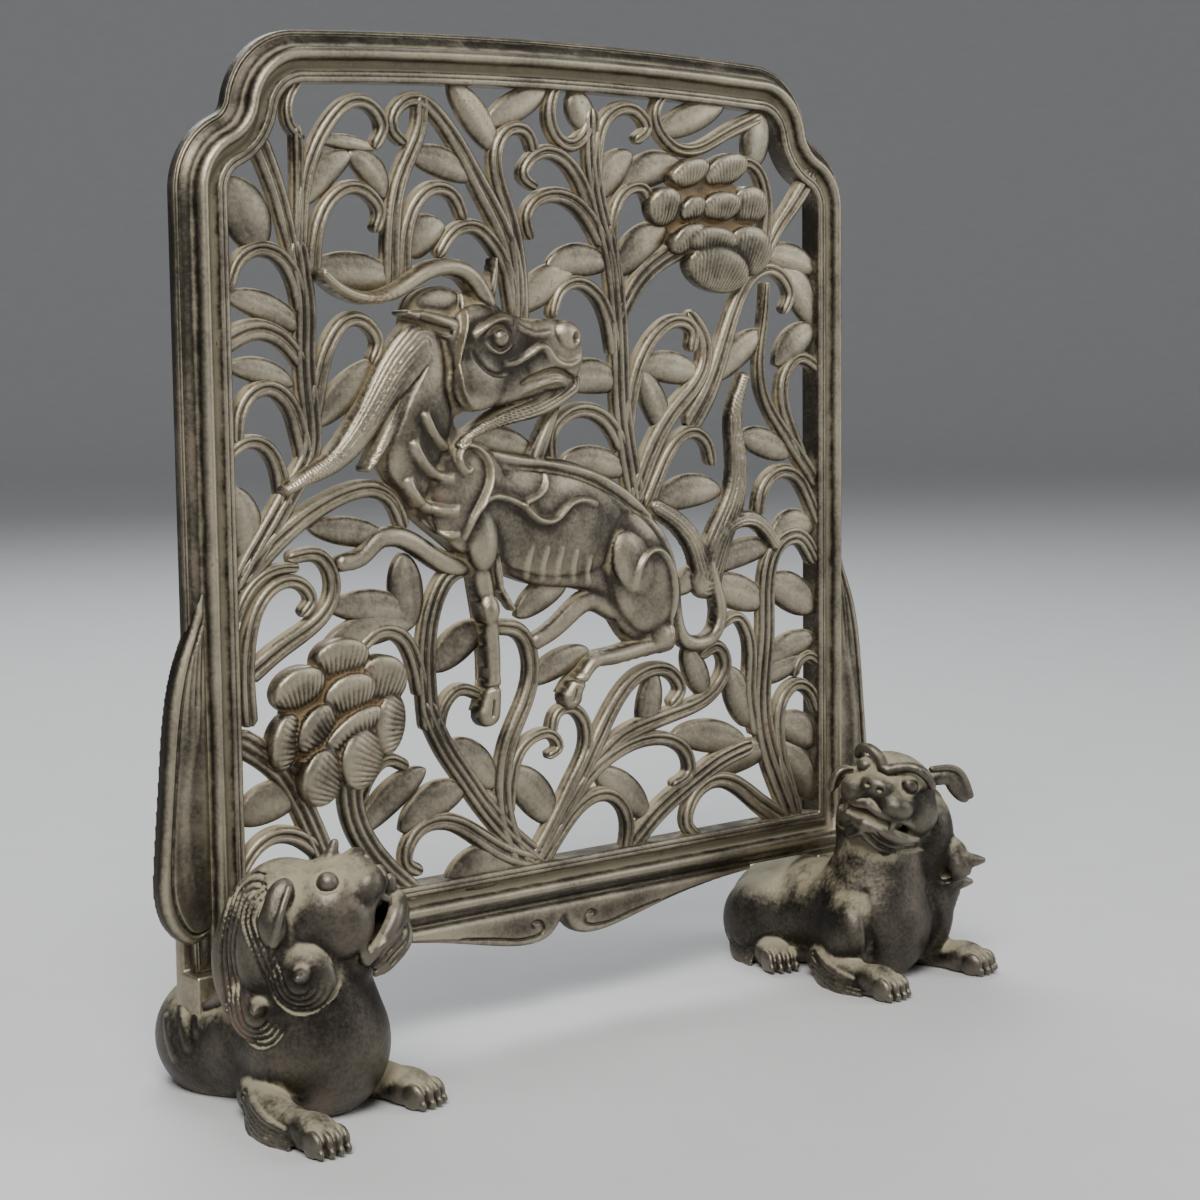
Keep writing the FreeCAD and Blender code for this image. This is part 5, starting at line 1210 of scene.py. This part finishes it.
def carve_face(clay, head, jaw, wide, eye, brow):
    """Skull, muzzle, mouth, eyes, brows and jaw; jaw is the height of its lip, wide stretches the mouth and
    brow is the brows' radius, or 0 for none."""

    def ball(place, radii, **options):
        clay.ball(head.spot(place), np.array(radii) * (1, 1, head.height), head.axes, **options)

    ball((0, 0, 0), (10.5, 10, 10), soft=3)
    ball((0, -0.5, 3.6), (9, 8.4, 6), soft=3)
    ball((0, -4.5, jaw - 0.4), (6.6, 4.6, 5), soft=2.5)
    ball((0, 2.4, jaw - 2.8), (6.4 * wide, 7.8, 2.4), soft=1.4)
    for side in (-1, 1):
        ball((side * 7.2 * wide, -1, -2.5), (3.6, 5.6, 5.2), soft=1.8)
        ball((side * 4 * wide, 8.2, -0.8), (4.6, 4.6, 3.7), soft=1.4)
    ball((0, 7.6, 1.8), (6, 5.4, 4.4), soft=2)
    # Open mouth with a scooped lower jaw
    ball((0, 5.8, (jaw - 5.2) / 2), (7 * wide, 9, 3.5), soft=0.6, cut=True)
    ball((0, 3.6, jaw - 0.8), (4.8 * wide, 5.8, 1.6), soft=0.5, cut=True)
    # Broad nose
    ball((0, 11.4, 2.8), (3.6, 2.2, 2.4), soft=1)
    for side in (-1, 1):
        ball((side * 1.8, 13.4, 2.3), (1.0, 1.0, 0.7), soft=0.3, cut=True)
        # Upper lip, lower lip and fang
        clay.strand(head.path([
            (side * 8.2 * wide, -2.8, jaw + 0.2), (side * 7.8 * wide, 1, -5.8), (side * 6.2 * wide, 7, -3.8),
            (side * 3 * wide, 11.2, -3.6), (0, 12.2, -2.4),
        ]), 0.9, 1.1, soft=0.5)
        clay.strand(head.path([
            (side * 7.4 * wide, -3.2, jaw - 1), (side * 6.6 * wide, 2.6, jaw - 1.4),
            (side * 4.2 * wide, 8, jaw - 0.6), (0, 9.6, jaw - 0.4),
        ]), 1.4, 1.9, soft=0.6)
        clay.strand(head.path([(side * 5 * wide, 8.4, -3), (side * 5 * wide, 9, -6.6)]), 1.3, 0.6, soft=0.3)
        # Round eye set in a hollow under a wavy brow
        place = np.array(eye) * (side, 1, 1)
        outward = unit(place)
        ball(place + 1.5 * outward, (3.1, 3.1, 3.1), soft=0.8, cut=True)
        ball(place - 0.5 * outward, (2.3, 2.3, 2.3), soft=0.25)
        if brow:
            arch = [place + np.array(step) * (side, 1, 1) for step in BROW_STEPS]
            clay.strand(head.path([(side * 0.6, 9.2, 7), *arch]), brow, 0.7 * brow, soft=0.6)


def carve_beard(clay, head, chin, bottom, tip):
    """Combed locks on each side of the jaw, in a crescent from the chin to a whisker; places on the head."""
    chin, bottom, tip = (np.array(place, float) for place in (chin, bottom, tip))

    def row_path(share, side):
        front = chin + np.array([0.6 * bottom[0] * share, -0.6 * share, 1.8 * share])
        middle = bottom + np.array([0.5 * bottom[0] * share, 0, 5 * share])
        end = tip + np.array([0, 2.4 * share, 2.4 * share])
        between = 0.5 * (front + middle) + np.array([0, 1.6, -1.2])
        places = np.array([front, between, middle, 0.5 * (middle + end) - (0, 0, 0.5), end])
        return head.path(places * (side, 1, 1))

    for side in (-1, 1):
        for row in range(BEARD_ROWS):
            clay.strand(row_path(row / (BEARD_ROWS - 1), side), 1.0, 0.5, soft=0.4)
    for side in (-1, 1):
        for row in range(BEARD_ROWS - 1):
            clay.lock(row_path((row + 0.5) / (BEARD_ROWS - 1), side), 0.42, 0.25, soft=0.25, cut=True)


def carve_ear(clay, points, out, widths, edge):
    """A leaf-shaped ear along a bent line, full in its middle, with a rolled edge; out is the way that it
    faces."""
    points = [np.array(point, float) for point in points]
    out = unit(out)
    for start, end, width in zip(points, points[1:], widths):
        along = unit(end - start)
        across = unit(np.cross(along, out))
        axes = np.array([along, across, np.cross(along, across)]).T
        clay.ball(0.5 * (start + end), (0.72 * np.linalg.norm(end - start), width, 0.7 * width), axes, soft=1)
    clay.strand(edge, 0.7, 1.0, soft=0.3)


def carve_paw(clay, at, way):
    """A paw with round toes and claws, pointing along a direction on the ground."""
    at, way = np.array(at, float), unit(way)
    aside = np.array([-way[1], way[0], 0])
    axes = np.array([aside, way, (0, 0, 1)]).T
    clay.ball(at + way * -1.5 + np.array([0, 0, 0.2]), (PAW_WIDTH / 2, 5.6, 3.9), axes, soft=1.4)
    for number in range(PAW_TOES):
        share = (number + 0.5) / PAW_TOES - 0.5
        toe = at + aside * share * PAW_WIDTH * 0.98 + way * (3.0 - 5 * share**2)
        clay.ball(toe + np.array([0, 0, -0.6]), (1.3, 3.0, 2.8), axes, soft=0.25)
        clay.ball(toe + way * 2.5 + np.array([0, 0, -2]), (0.75, 1.2, 1.1), axes, soft=0.2)


def carve_tuft(clay, points, out):
    """Hair swept along the ground from an elbow or heel, in grooved locks."""
    points = [np.array(point, float) for point in points]
    out = np.array(out, float)

    def lock_path(share):
        return [
            point + out * (share * 2.6 * place) + np.array([0, 0, 3 * (1 - 2 * share) * (1 - 0.6 * place)])
            for point, place in zip(points, np.linspace(0.3, 1, len(points)))
        ]

    for number in range(TUFT_LOCKS):
        clay.strand(lock_path(number / (TUFT_LOCKS - 1)), 1.2, 0.6, soft=0.4)
    for number in range(TUFT_LOCKS - 1):
        outer = np.array(lock_path((number + 0.5) / (TUFT_LOCKS - 1))) + 0.8 * out * (1, 1, 0)
        clay.lock(outer, 0.45, 0.3, soft=0.25, cut=True)


def carve_curl(clay, knob, out, stick, bands):
    """A round curl with a pointed bud, and grooves along the lock that it ends; stick is right and up of the
    bud, and bands are how far the first and last grooves lie from it."""
    out = unit(out)
    right = unit(np.cross((0, 0, 1), out))
    knob = clay.settle([knob])[0]
    line = [knob + right * a + np.array([0, 0, b]) for a, b in stick]
    reach = bands[1] - 0.2
    clay.ball(line[-1] - out * 2.6, (reach, 3.6, reach), np.array([right, out, (0, 0, 1)]).T, soft=1)
    clay.comb(line, out, *bands)
    knob = clay.settle([knob])[0]
    clay.ball(knob - out * 1.5, (2.3, 2.3, 2.3), soft=0.4)
    clay.strand([knob + out * 0.4, knob + out * 1.5, knob + out * 2.8], 1.75, 0.8, soft=0.2)


def carve_forelegs(clay, legs):
    """Forelegs with paws, and hair at their elbows; for each leg its joints, its paw's place and direction,
    the line of the hair and the way that it spreads."""
    for joints, *_ in legs:
        clay.strand(joints, *FORELEG)
    for _, at, way, *_ in legs:
        carve_paw(clay, at, way)
    for *_, hair, out in legs:
        carve_tuft(clay, hair, out)


def carve_body(clay, rump, lean):
    """Rump, trunk, pear-shaped chest and neck; lean shifts the forequarters sideways."""
    clay.ball((rump, 8, 10), (17, 19, 15), soft=4)
    clay.ball((lean / 3, -6, 13), (15.5, 15, 13), soft=4)
    clay.ball((1 + lean / 2, -20, 14), (15.5, 15, 16.3), soft=4)
    clay.ball((lean, -21, 27), (11.5, 11, 12), soft=5)


def finish_lion(clay, name, side, node, body):
    """Cuts the feet flat on the ground and places the lion; side is -1 for the left one."""
    ground = -(clay.low[2] + clay.step * np.arange(clay.field.shape[2]))
    clay.field = np.maximum(clay.field, ground[None, None, :].astype(np.float32))
    points, quads, recess = clay.mesh()
    points[:, 0] = side * LION_SPACING / 2 - side * points[:, 0]
    points[:, 1] += LIP_PLANE
    faces = quads if side < 0 else quads[:, ::-1]
    piece(name, points * MM, faces, recess, body, node, "lion_bronze")


def make_left_lion():
    clay = Clay((-24, -53, -1), (29, 29, 60), LION_STEP)
    carve_body(clay, rump=-1, lean=0)
    clay.ball((-4, -17.5, 36.5), (13.2, 12.4, 16.2), soft=3)
    # Locks of the mane
    clay.strand([(-9, -13, 45), (-13.2, -11.8, 37), (-13.6, -12, 29), (-12.5, -15, 23)], 3.2, 4.6, soft=2)
    clay.ball((-9.9, -18, 23.4), (4.8, 6.4, 7), soft=2)
    clay.ball((-5.6, -27.3, 31.8), (4.6, 5.6, 6.2), soft=2)
    # Head with a raised crest and a tongue
    head = Head((2.5, -25, 42), turn=65, lift=50, roll=0, height=1)
    carve_face(clay, head, jaw=-8.8, wide=1, eye=(6.6, 4.6, 6.4), brow=0)
    clay.strand([(0.6, -23, 49.5), (2.4, -24.6, 53.4), (3.2, -25, 56)], 2.6, 0.9, soft=1.5)
    clay.strand(head.path([(0, 8.4, -8.2), (0, 10.4, -6.6), (0, 12, -5.4)]), 1.7, 1.3, soft=0.4)
    carve_beard(clay, head, chin=(0, 7.4, -13), bottom=(5.4, -0.4, -15.4), tip=(6, -4.8, -13.6))
    carve_curl(clay, (-14.3, -22.6, 24.3), VIEWED, [(-0.8, 20.6), (-2.4, 8), (-0.8, -1.6)], (2.2, 7.2))
    carve_curl(clay, (-9.5, -31.5, 31.9), VIEWED, [(-6, 11), (-3.6, 5.5), (-0.8, -1.6)], (2.2, 7.2))
    carve_ear(clay, [(-9, -25.6, 49.4), (-12.4, -25.8, 45), (-13, -26.6, 38.6)], VIEWED, (2.6, 3),
              [(-9.4, -27.4, 49), (-12.2, -28.6, 44.4), (-13.4, -27.6, 38.2)])
    carve_ear(clay, [(5.6, -17, 46), (8.6, -16.4, 44.4), (9.6, -17.4, 39.4)], (0.9, 0.4, 0), (2.4, 2.4),
              [(7, -18.6, 46), (9.6, -18.2, 43), (10, -18.4, 39)])
    # Small lock behind the mane, and flame curls on the flank
    for shift in (0, 1.5, 3):
        root = (-11.6, -6 + shift / 2, 26 + shift / 2)
        clay.lock([root, (-13.8, -3.4 + shift, 22), (-13.6, 0.4 + shift, 19.4)], 1.0, 0.5, soft=0.4)
    for path in (
        [(-13.4, 3.6, 20.4), (-15, 1.4, 18), (-15.6, -0.6, 15)],
        [(-14.4, 7.4, 18.4), (-16.2, 4.4, 15.4), (-16.6, 1.6, 11.4)],
        [(-15.4, 11, 15), (-16.8, 8.6, 12.4), (-17, 6, 8.6)],
    ):
        clay.lock(path, 0.9, 1.3, soft=0.8, sink=0.8)
    carve_forelegs(clay, (
        ([(-11, -17, 4.4), (-14.4, -28, 3.6), (-14.6, -40, 3.2)], (-14.6, -44.4, 3.4), (0.05, -1, 0),
         [(-14.4, -19, 4), (-17.8, -26, 3.2), (-19, -33, 2.4), (-18, -40, 2)], (-0.6, 0, -0.8)),
        ([(11, -16, 4.4), (15.4, -24, 3.6), (16.8, -31, 3.2)], (17, -32, 3.4), (0.25, -1, 0),
         [(15, -15, 4), (18.6, -20, 3.2), (20, -26, 2.4)], (0.6, 0, -0.8)),
    ))
    # Hind leg folded beside the rump
    clay.ball((12, 7, 9), (7, 13, 11), soft=3)
    carve_paw(clay, (16, -3, 3.6), (0.3, -1, 0))
    finish_lion(clay, "left_lion", -1, "lion_left", "left_foot")


def make_right_lion():
    clay = Clay((-30, -53, -1), (24, 29, 60), LION_STEP)
    carve_body(clay, rump=-3, lean=-3)
    # Mane
    clay.ball((-9, -17.5, 35.5), (13.4, 12.6, 15.8), soft=3)
    clay.ball((-13.5, -25, 33), (7.4, 8, 13), soft=2.5)
    clay.strand([(-14, -16, 45), (-18.4, -19, 36), (-19.6, -23, 28), (-18.6, -26, 22)], 3.4, 4.4, soft=2)
    clay.ball((-17.2, -30.6, 28), (4.4, 5, 5.4), soft=1.2)
    # Head with a broad tongue
    head = Head((-1.4, -25.8, 45.6), turn=68, lift=7, roll=18, height=0.95)
    carve_face(clay, head, jaw=-7.6, wide=1.25, eye=(6.2, 7, 5.6), brow=1.5)
    clay.ball(head.spot((0, 4.4, -6)), (7, 6, 1.6), head.axes, soft=0.5)
    carve_beard(clay, head, chin=(0, 10, -9.8), bottom=(7, -0.6, -13.6), tip=(8.6, -8, -12))
    carve_curl(clay, (-20, -27.4, 21.4), (-0.85, -0.5, 0), [(0, 20), (-1, 10), (-0.6, -1.2)], (2.4, 4.8))
    carve_curl(clay, (-18.6, -33.6, 27.6), (-0.8, -0.6, 0), [(-2, 12), (-1, 6), (-0.6, -1.2)], (2.2, 4.4))
    carve_ear(clay, [(-10.4, -29, 49), (-16.4, -31, 48.6), (-21, -32, 43)], (0.4, -0.8, 0.5), (2.3, 2.4),
              [(-11, -30.4, 51), (-17.4, -32.6, 50.4), (-22, -33, 43.4)])
    carve_ear(clay, [(4.6, -18.4, 50.4), (7.4, -17, 50.6), (9.2, -16, 47)], (-0.5, -0.8, 0.3), (2.1, 2.1),
              [(5.4, -20, 51.6), (8.4, -18.6, 51.4), (10, -17, 47)])
    # Shoulders, and folds down the chest between them
    clay.ball((-14, -26, 15), (6.4, 7, 12), soft=3)
    clay.ball((13, -25, 13), (4, 6, 7.6), soft=3)
    for path in (
        [(10.6, -28.6, 23), (11.6, -30.6, 16), (10.6, -31.6, 9.6)],
        [(-8.4, -33.4, 22), (-10.8, -33.6, 15), (-10.4, -32.4, 8)],
    ):
        clay.lock(path, 0.7, 1.1, soft=1.6, sink=-0.7, cut=True)
    carve_forelegs(clay, (
        ([(11, -16, 4.4), (14.2, -26, 3.6), (14.4, -34, 3.2)], (14.4, -38.6, 3.4), (-0.05, -1, 0),
         [(13.4, -16, 4), (17, -22, 3.2), (18.6, -28.6, 2.4), (17.4, -35, 2)], (0.6, 0, -0.8)),
        ([(-13, -17, 4.4), (-17, -26, 3.6), (-18.4, -33, 3.2)], (-18.6, -36.4, 3.4), (-0.2, -1, 0),
         [(-15.4, -18, 4), (-19, -23, 3.2), (-21, -29, 2.4)], (-0.6, 0, -0.8)),
    ))
    # Hind legs folded beside the rump
    clay.ball((10.6, 7, 9), (7, 13, 11.5), soft=3)
    clay.ball((-13.6, 7, 9), (7, 13, 11), soft=3)
    carve_paw(clay, (15.4, -2.6, 3.6), (0.35, -1, 0))
    carve_paw(clay, (-17, -3, 3.6), (-0.3, -1, 0))
    carve_tuft(clay, [(12, 16, 5), (15, 11, 3.6), (16.8, 4, 2.6)], (0.6, 0, -0.8))
    finish_lion(clay, "right_lion", 1, "lion_right", "right_foot")


# Bronze

OCHRE = (0.40, 0.335, 0.21)
KHAKI = (0.42, 0.375, 0.255)
RUSTY = (0.34, 0.245, 0.13)
REDDISH = (0.17, 0.06, 0.035)
BROWN_BLACK = (0.032, 0.027, 0.023)
DEEP_BRONZE = (0.055, 0.047, 0.038)
WORN_BRONZE = (0.22, 0.195, 0.155)
PALE_BRONZE = (0.45, 0.4, 0.295)
# Dark metal, worn metal, the colour of dust and of painted top light, its amount, and how much of it is
# painted on upper faces as light falling from above
BRONZE_TONES = {
    "frame_bronze": (DEEP_BRONZE, PALE_BRONZE, KHAKI, 0.65, 0.2),
    "scroll_bronze": (DEEP_BRONZE, PALE_BRONZE, OCHRE, 0.85, 0.38),
    "beast_bronze": (DEEP_BRONZE, PALE_BRONZE, OCHRE, 0.7, 0.25),
    "blossom_bronze": (DEEP_BRONZE, PALE_BRONZE, RUSTY, 0.75, 0.05),
    "lion_bronze": (BROWN_BLACK, WORN_BRONZE, KHAKI, 0.85, 0.7),
}


def bronze(name, dark, light, dust_and_painted_top_light_colour, dust_and_painted_top_light_amount, settled):
    """Old bronze: brown metal that is brighter on crests and reddish in patches, with dust in the hollows,
    and the dust colour painted on upper faces as painted top light."""
    material = bpy.data.materials.new(name)
    material.use_nodes = True
    tree = material.node_tree
    shader = tree.nodes["Principled BSDF"]

    def node(kind, **values):
        made = tree.nodes.new(kind)
        for key, value in values.items():
            setattr(made, key, value)
        return made

    def link(source, target):
        tree.links.new(source, target)

    def maths(operation, first, second):
        made = node("ShaderNodeMath", operation=operation)
        for socket, value in zip(made.inputs, (first, second)):
            if isinstance(value, (int, float)):
                socket.default_value = value
            else:
                link(value, socket)
        return made.outputs[0]

    def total(base, *terms):
        """A number, and some values added to it, each times its share."""
        for value, share in terms:
            base = maths("ADD", base, maths("MULTIPLY", value, share))
        return base

    def noise(scale, detail):
        made = node("ShaderNodeTexNoise")
        made.inputs["Scale"].default_value = scale
        made.inputs["Detail"].default_value = detail
        made.inputs["Roughness"].default_value = 0.6
        link(place.outputs["Object"], made.inputs["Vector"])
        return made.outputs["Fac"]

    def ramp(value, low, high):
        made = node("ShaderNodeMapRange", interpolation_type="SMOOTHSTEP")
        link(value, made.inputs["Value"])
        made.inputs["From Min"].default_value = low
        made.inputs["From Max"].default_value = high
        return made.outputs["Result"]

    def mix(share, first, second):
        made = node("ShaderNodeMix", data_type="RGBA")
        link(share, made.inputs["Factor"])
        for socket, value in zip((made.inputs[6], made.inputs[7]), (first, second)):
            if isinstance(value, tuple):
                socket.default_value = (*value, 1)
            else:
                link(value, socket)
        return made.outputs[2]

    place = node("ShaderNodeTexCoord")
    recess = node("ShaderNodeAttribute", attribute_name="recess").outputs["Fac"]
    shelter = node("ShaderNodeAmbientOcclusion", samples=6)
    shelter.inputs["Distance"].default_value = 5 * MM
    hidden = total(1.0, (shelter.outputs["AO"], -1.0))
    broad, patchy, grainy, fine = noise(55, 3), noise(260, 5), noise(1100, 4), noise(4200, 3)
    # Painted top light: the more a face looks up, the more of the pale dust colour it gets, standing in for
    # light from above
    facing = node("ShaderNodeSeparateXYZ")
    link(place.outputs["Normal"], facing.inputs[0])
    upper = ramp(facing.outputs["Z"], -0.1, 0.9)

    # Dust gathers where the surface is low or sheltered; on faces that look up, the dust colour is painted
    # top light, paler where light would fall from above
    low = total(-0.525, (recess, 0.75), (hidden, 0.55), (upper, settled), (patchy, 0.7), (grainy, 0.35))
    dust_and_painted_top_light = maths("MULTIPLY", ramp(low, 0.55, 1.1), dust_and_painted_top_light_amount)
    # Handling brightens the crests, and rubs through to red in patches
    bright = ramp(total(-0.118, (recess, -1.1), (broad, 1.1), (grainy, 0.5)), 0.0, 0.9)
    rubbed = ramp(total(0.0, (broad, 0.6), (grainy, 0.5)), 0.66, 0.74)
    metal = mix(maths("MULTIPLY", rubbed, 0.55), mix(bright, dark, light), REDDISH)
    link(mix(dust_and_painted_top_light, metal, dust_and_painted_top_light_colour), shader.inputs["Base Color"])
    link(total(1.0, (dust_and_painted_top_light, -0.85)), shader.inputs["Metallic"])
    link(total(0.29, (patchy, 0.24), (grainy, 0.1), (dust_and_painted_top_light, 0.4)), shader.inputs["Roughness"])
    bump = node("ShaderNodeBump")
    bump.inputs["Strength"].default_value = 0.35
    bump.inputs["Distance"].default_value = 0.35 * MM
    link(total(0.0, (grainy, 0.7), (fine, 0.3), (patchy, 0.9)), bump.inputs["Height"])
    link(bump.outputs["Normal"], shader.inputs["Normal"])
    return material


BRONZES = {name: bronze(name, *tones) for name, tones in BRONZE_TONES.items()}

make_frame()
make_panel()
make_beast()
make_blossom("lower_blossom", "blossom_lower", LOWER_PETALS, rib_spacing=1.25)
make_blossom("upper_blossom", "blossom_upper", UPPER_PETALS, rib_spacing=1.05)
make_wing("left_wing", "wing_left", -1)
make_wing("right_wing", "wing_right", 1)
make_apron()
make_rest("left_rest", "rest_left", "left_foot")
make_rest("right_rest", "rest_right", "right_foot")
make_left_lion()
make_right_lion()


# Studio

FLOOR_FLAT = 2.2
FLOOR_CURVE = 1.2
FLOOR_WALL = 3.2
FLOOR_CURVE_STEPS = 12
FLOOR_SIDES = 96
FLOOR_DARK = (0.60, 0.60, 0.60, 1)
FLOOR_LIGHT = (0.64, 0.64, 0.645, 1)
# Lights: name, place, width and height, power and colour
LIGHTS = (
    ("key", (-0.55, -0.55, 0.95), (0.6, 0.6), 16, (1, 0.985, 0.96)),
    ("fill", (0.75, -0.6, 0.5), (0.5, 0.7), 4, (0.95, 0.97, 1)),
    ("rim", (0.3, 0.8, 0.9), (0.8, 0.4), 9, (0.95, 0.98, 1)),
)
LIT_PLACE = (0, 0, 0.11)
SKY = (0.9, 0.95, 1, 1)
SKY_STRENGTH = 0.25


def make_floor():
    """A pale floor that curves up into a wall all round."""
    profile = [(0.02, 0), (0.5, 0), (1.2, 0), (FLOOR_FLAT, 0)]
    for step in range(1, FLOOR_CURVE_STEPS + 1):
        angle = math.radians(90 * step / FLOOR_CURVE_STEPS)
        profile.append((FLOOR_FLAT + FLOOR_CURVE * math.sin(angle), FLOOR_CURVE * (1 - math.cos(angle))))
    profile.append((FLOOR_FLAT + FLOOR_CURVE, FLOOR_WALL))
    angles = np.arange(FLOOR_SIDES) * 2 * math.pi / FLOOR_SIDES
    points = [(r * math.cos(a), r * math.sin(a), z) for r, z in profile for a in angles]
    grid = np.arange(len(points)).reshape(len(profile), FLOOR_SIDES)
    after = np.roll(grid, -1, axis=1)
    faces = np.stack([grid[:-1], after[:-1], after[1:], grid[1:]], axis=-1).reshape(-1, 4).tolist()
    faces.append(list(range(FLOOR_SIDES - 1, -1, -1)))
    mesh = bpy.data.meshes.new("floor")
    mesh.from_pydata(points, [], faces)
    mesh.shade_smooth()
    material = bpy.data.materials.new("pale_floor")
    material.use_nodes = True
    tree = material.node_tree
    shader = tree.nodes["Principled BSDF"]
    grain = tree.nodes.new("ShaderNodeTexNoise")
    grain.inputs["Scale"].default_value = 300
    tint = tree.nodes.new("ShaderNodeMix")
    tint.data_type = "RGBA"
    tint.inputs[6].default_value = FLOOR_DARK
    tint.inputs[7].default_value = FLOOR_LIGHT
    tree.links.new(grain.outputs["Fac"], tint.inputs["Factor"])
    tree.links.new(tint.outputs[2], shader.inputs["Base Color"])
    shader.inputs["Roughness"].default_value = 0.6
    shader.inputs["Specular IOR Level"].default_value = 0.25
    mesh.materials.append(material)
    floor = bpy.data.objects.new("floor", mesh)
    bpy.context.scene.collection.objects.link(floor)


def add_light(name, at, size, power, colour):
    lamp = bpy.data.lights.new(name, "AREA")
    lamp.shape = "RECTANGLE"
    lamp.size, lamp.size_y = size
    lamp.energy = power
    lamp.color = colour
    thing = bpy.data.objects.new(name, lamp)
    thing.location = at
    thing.rotation_mode = "QUATERNION"
    thing.rotation_quaternion = (Vector(LIT_PLACE) - Vector(at)).to_track_quat("-Z", "Y")
    bpy.context.scene.collection.objects.link(thing)


make_floor()
for light in LIGHTS:
    add_light(*light)
world = bpy.data.worlds.new("studio")
world.use_nodes = True
sky = world.node_tree.nodes["Background"]
sky.inputs["Color"].default_value = SKY
sky.inputs["Strength"].default_value = SKY_STRENGTH
bpy.context.scene.world = world

# Camera: right, down and forward in the row frame, and its place
CAMERA_RIGHT = Vector((0.7721982, -0.6352894, -0.0108308))
CAMERA_DOWN = Vector((-0.0785324, -0.0785135, -0.9938150))
CAMERA_FORWARD = Vector((0.6305098, 0.7682727, -0.1105188))
CAMERA_AT = (-353.509, -446.386, 123.769)
camera_data = bpy.data.cameras.new("camera")
camera_data.sensor_fit = "HORIZONTAL"
camera_data.sensor_width = 36
camera_data.lens = 75
camera_data.clip_start, camera_data.clip_end = 0.01, 50
camera = bpy.data.objects.new("camera", camera_data)
turn = Matrix((CAMERA_RIGHT, -CAMERA_DOWN, -CAMERA_FORWARD)).transposed().to_4x4()
camera.matrix_world = Matrix.Translation(Vector(to_row(CAMERA_AT))) @ turn
bpy.context.scene.collection.objects.link(camera)
bpy.context.scene.camera = camera
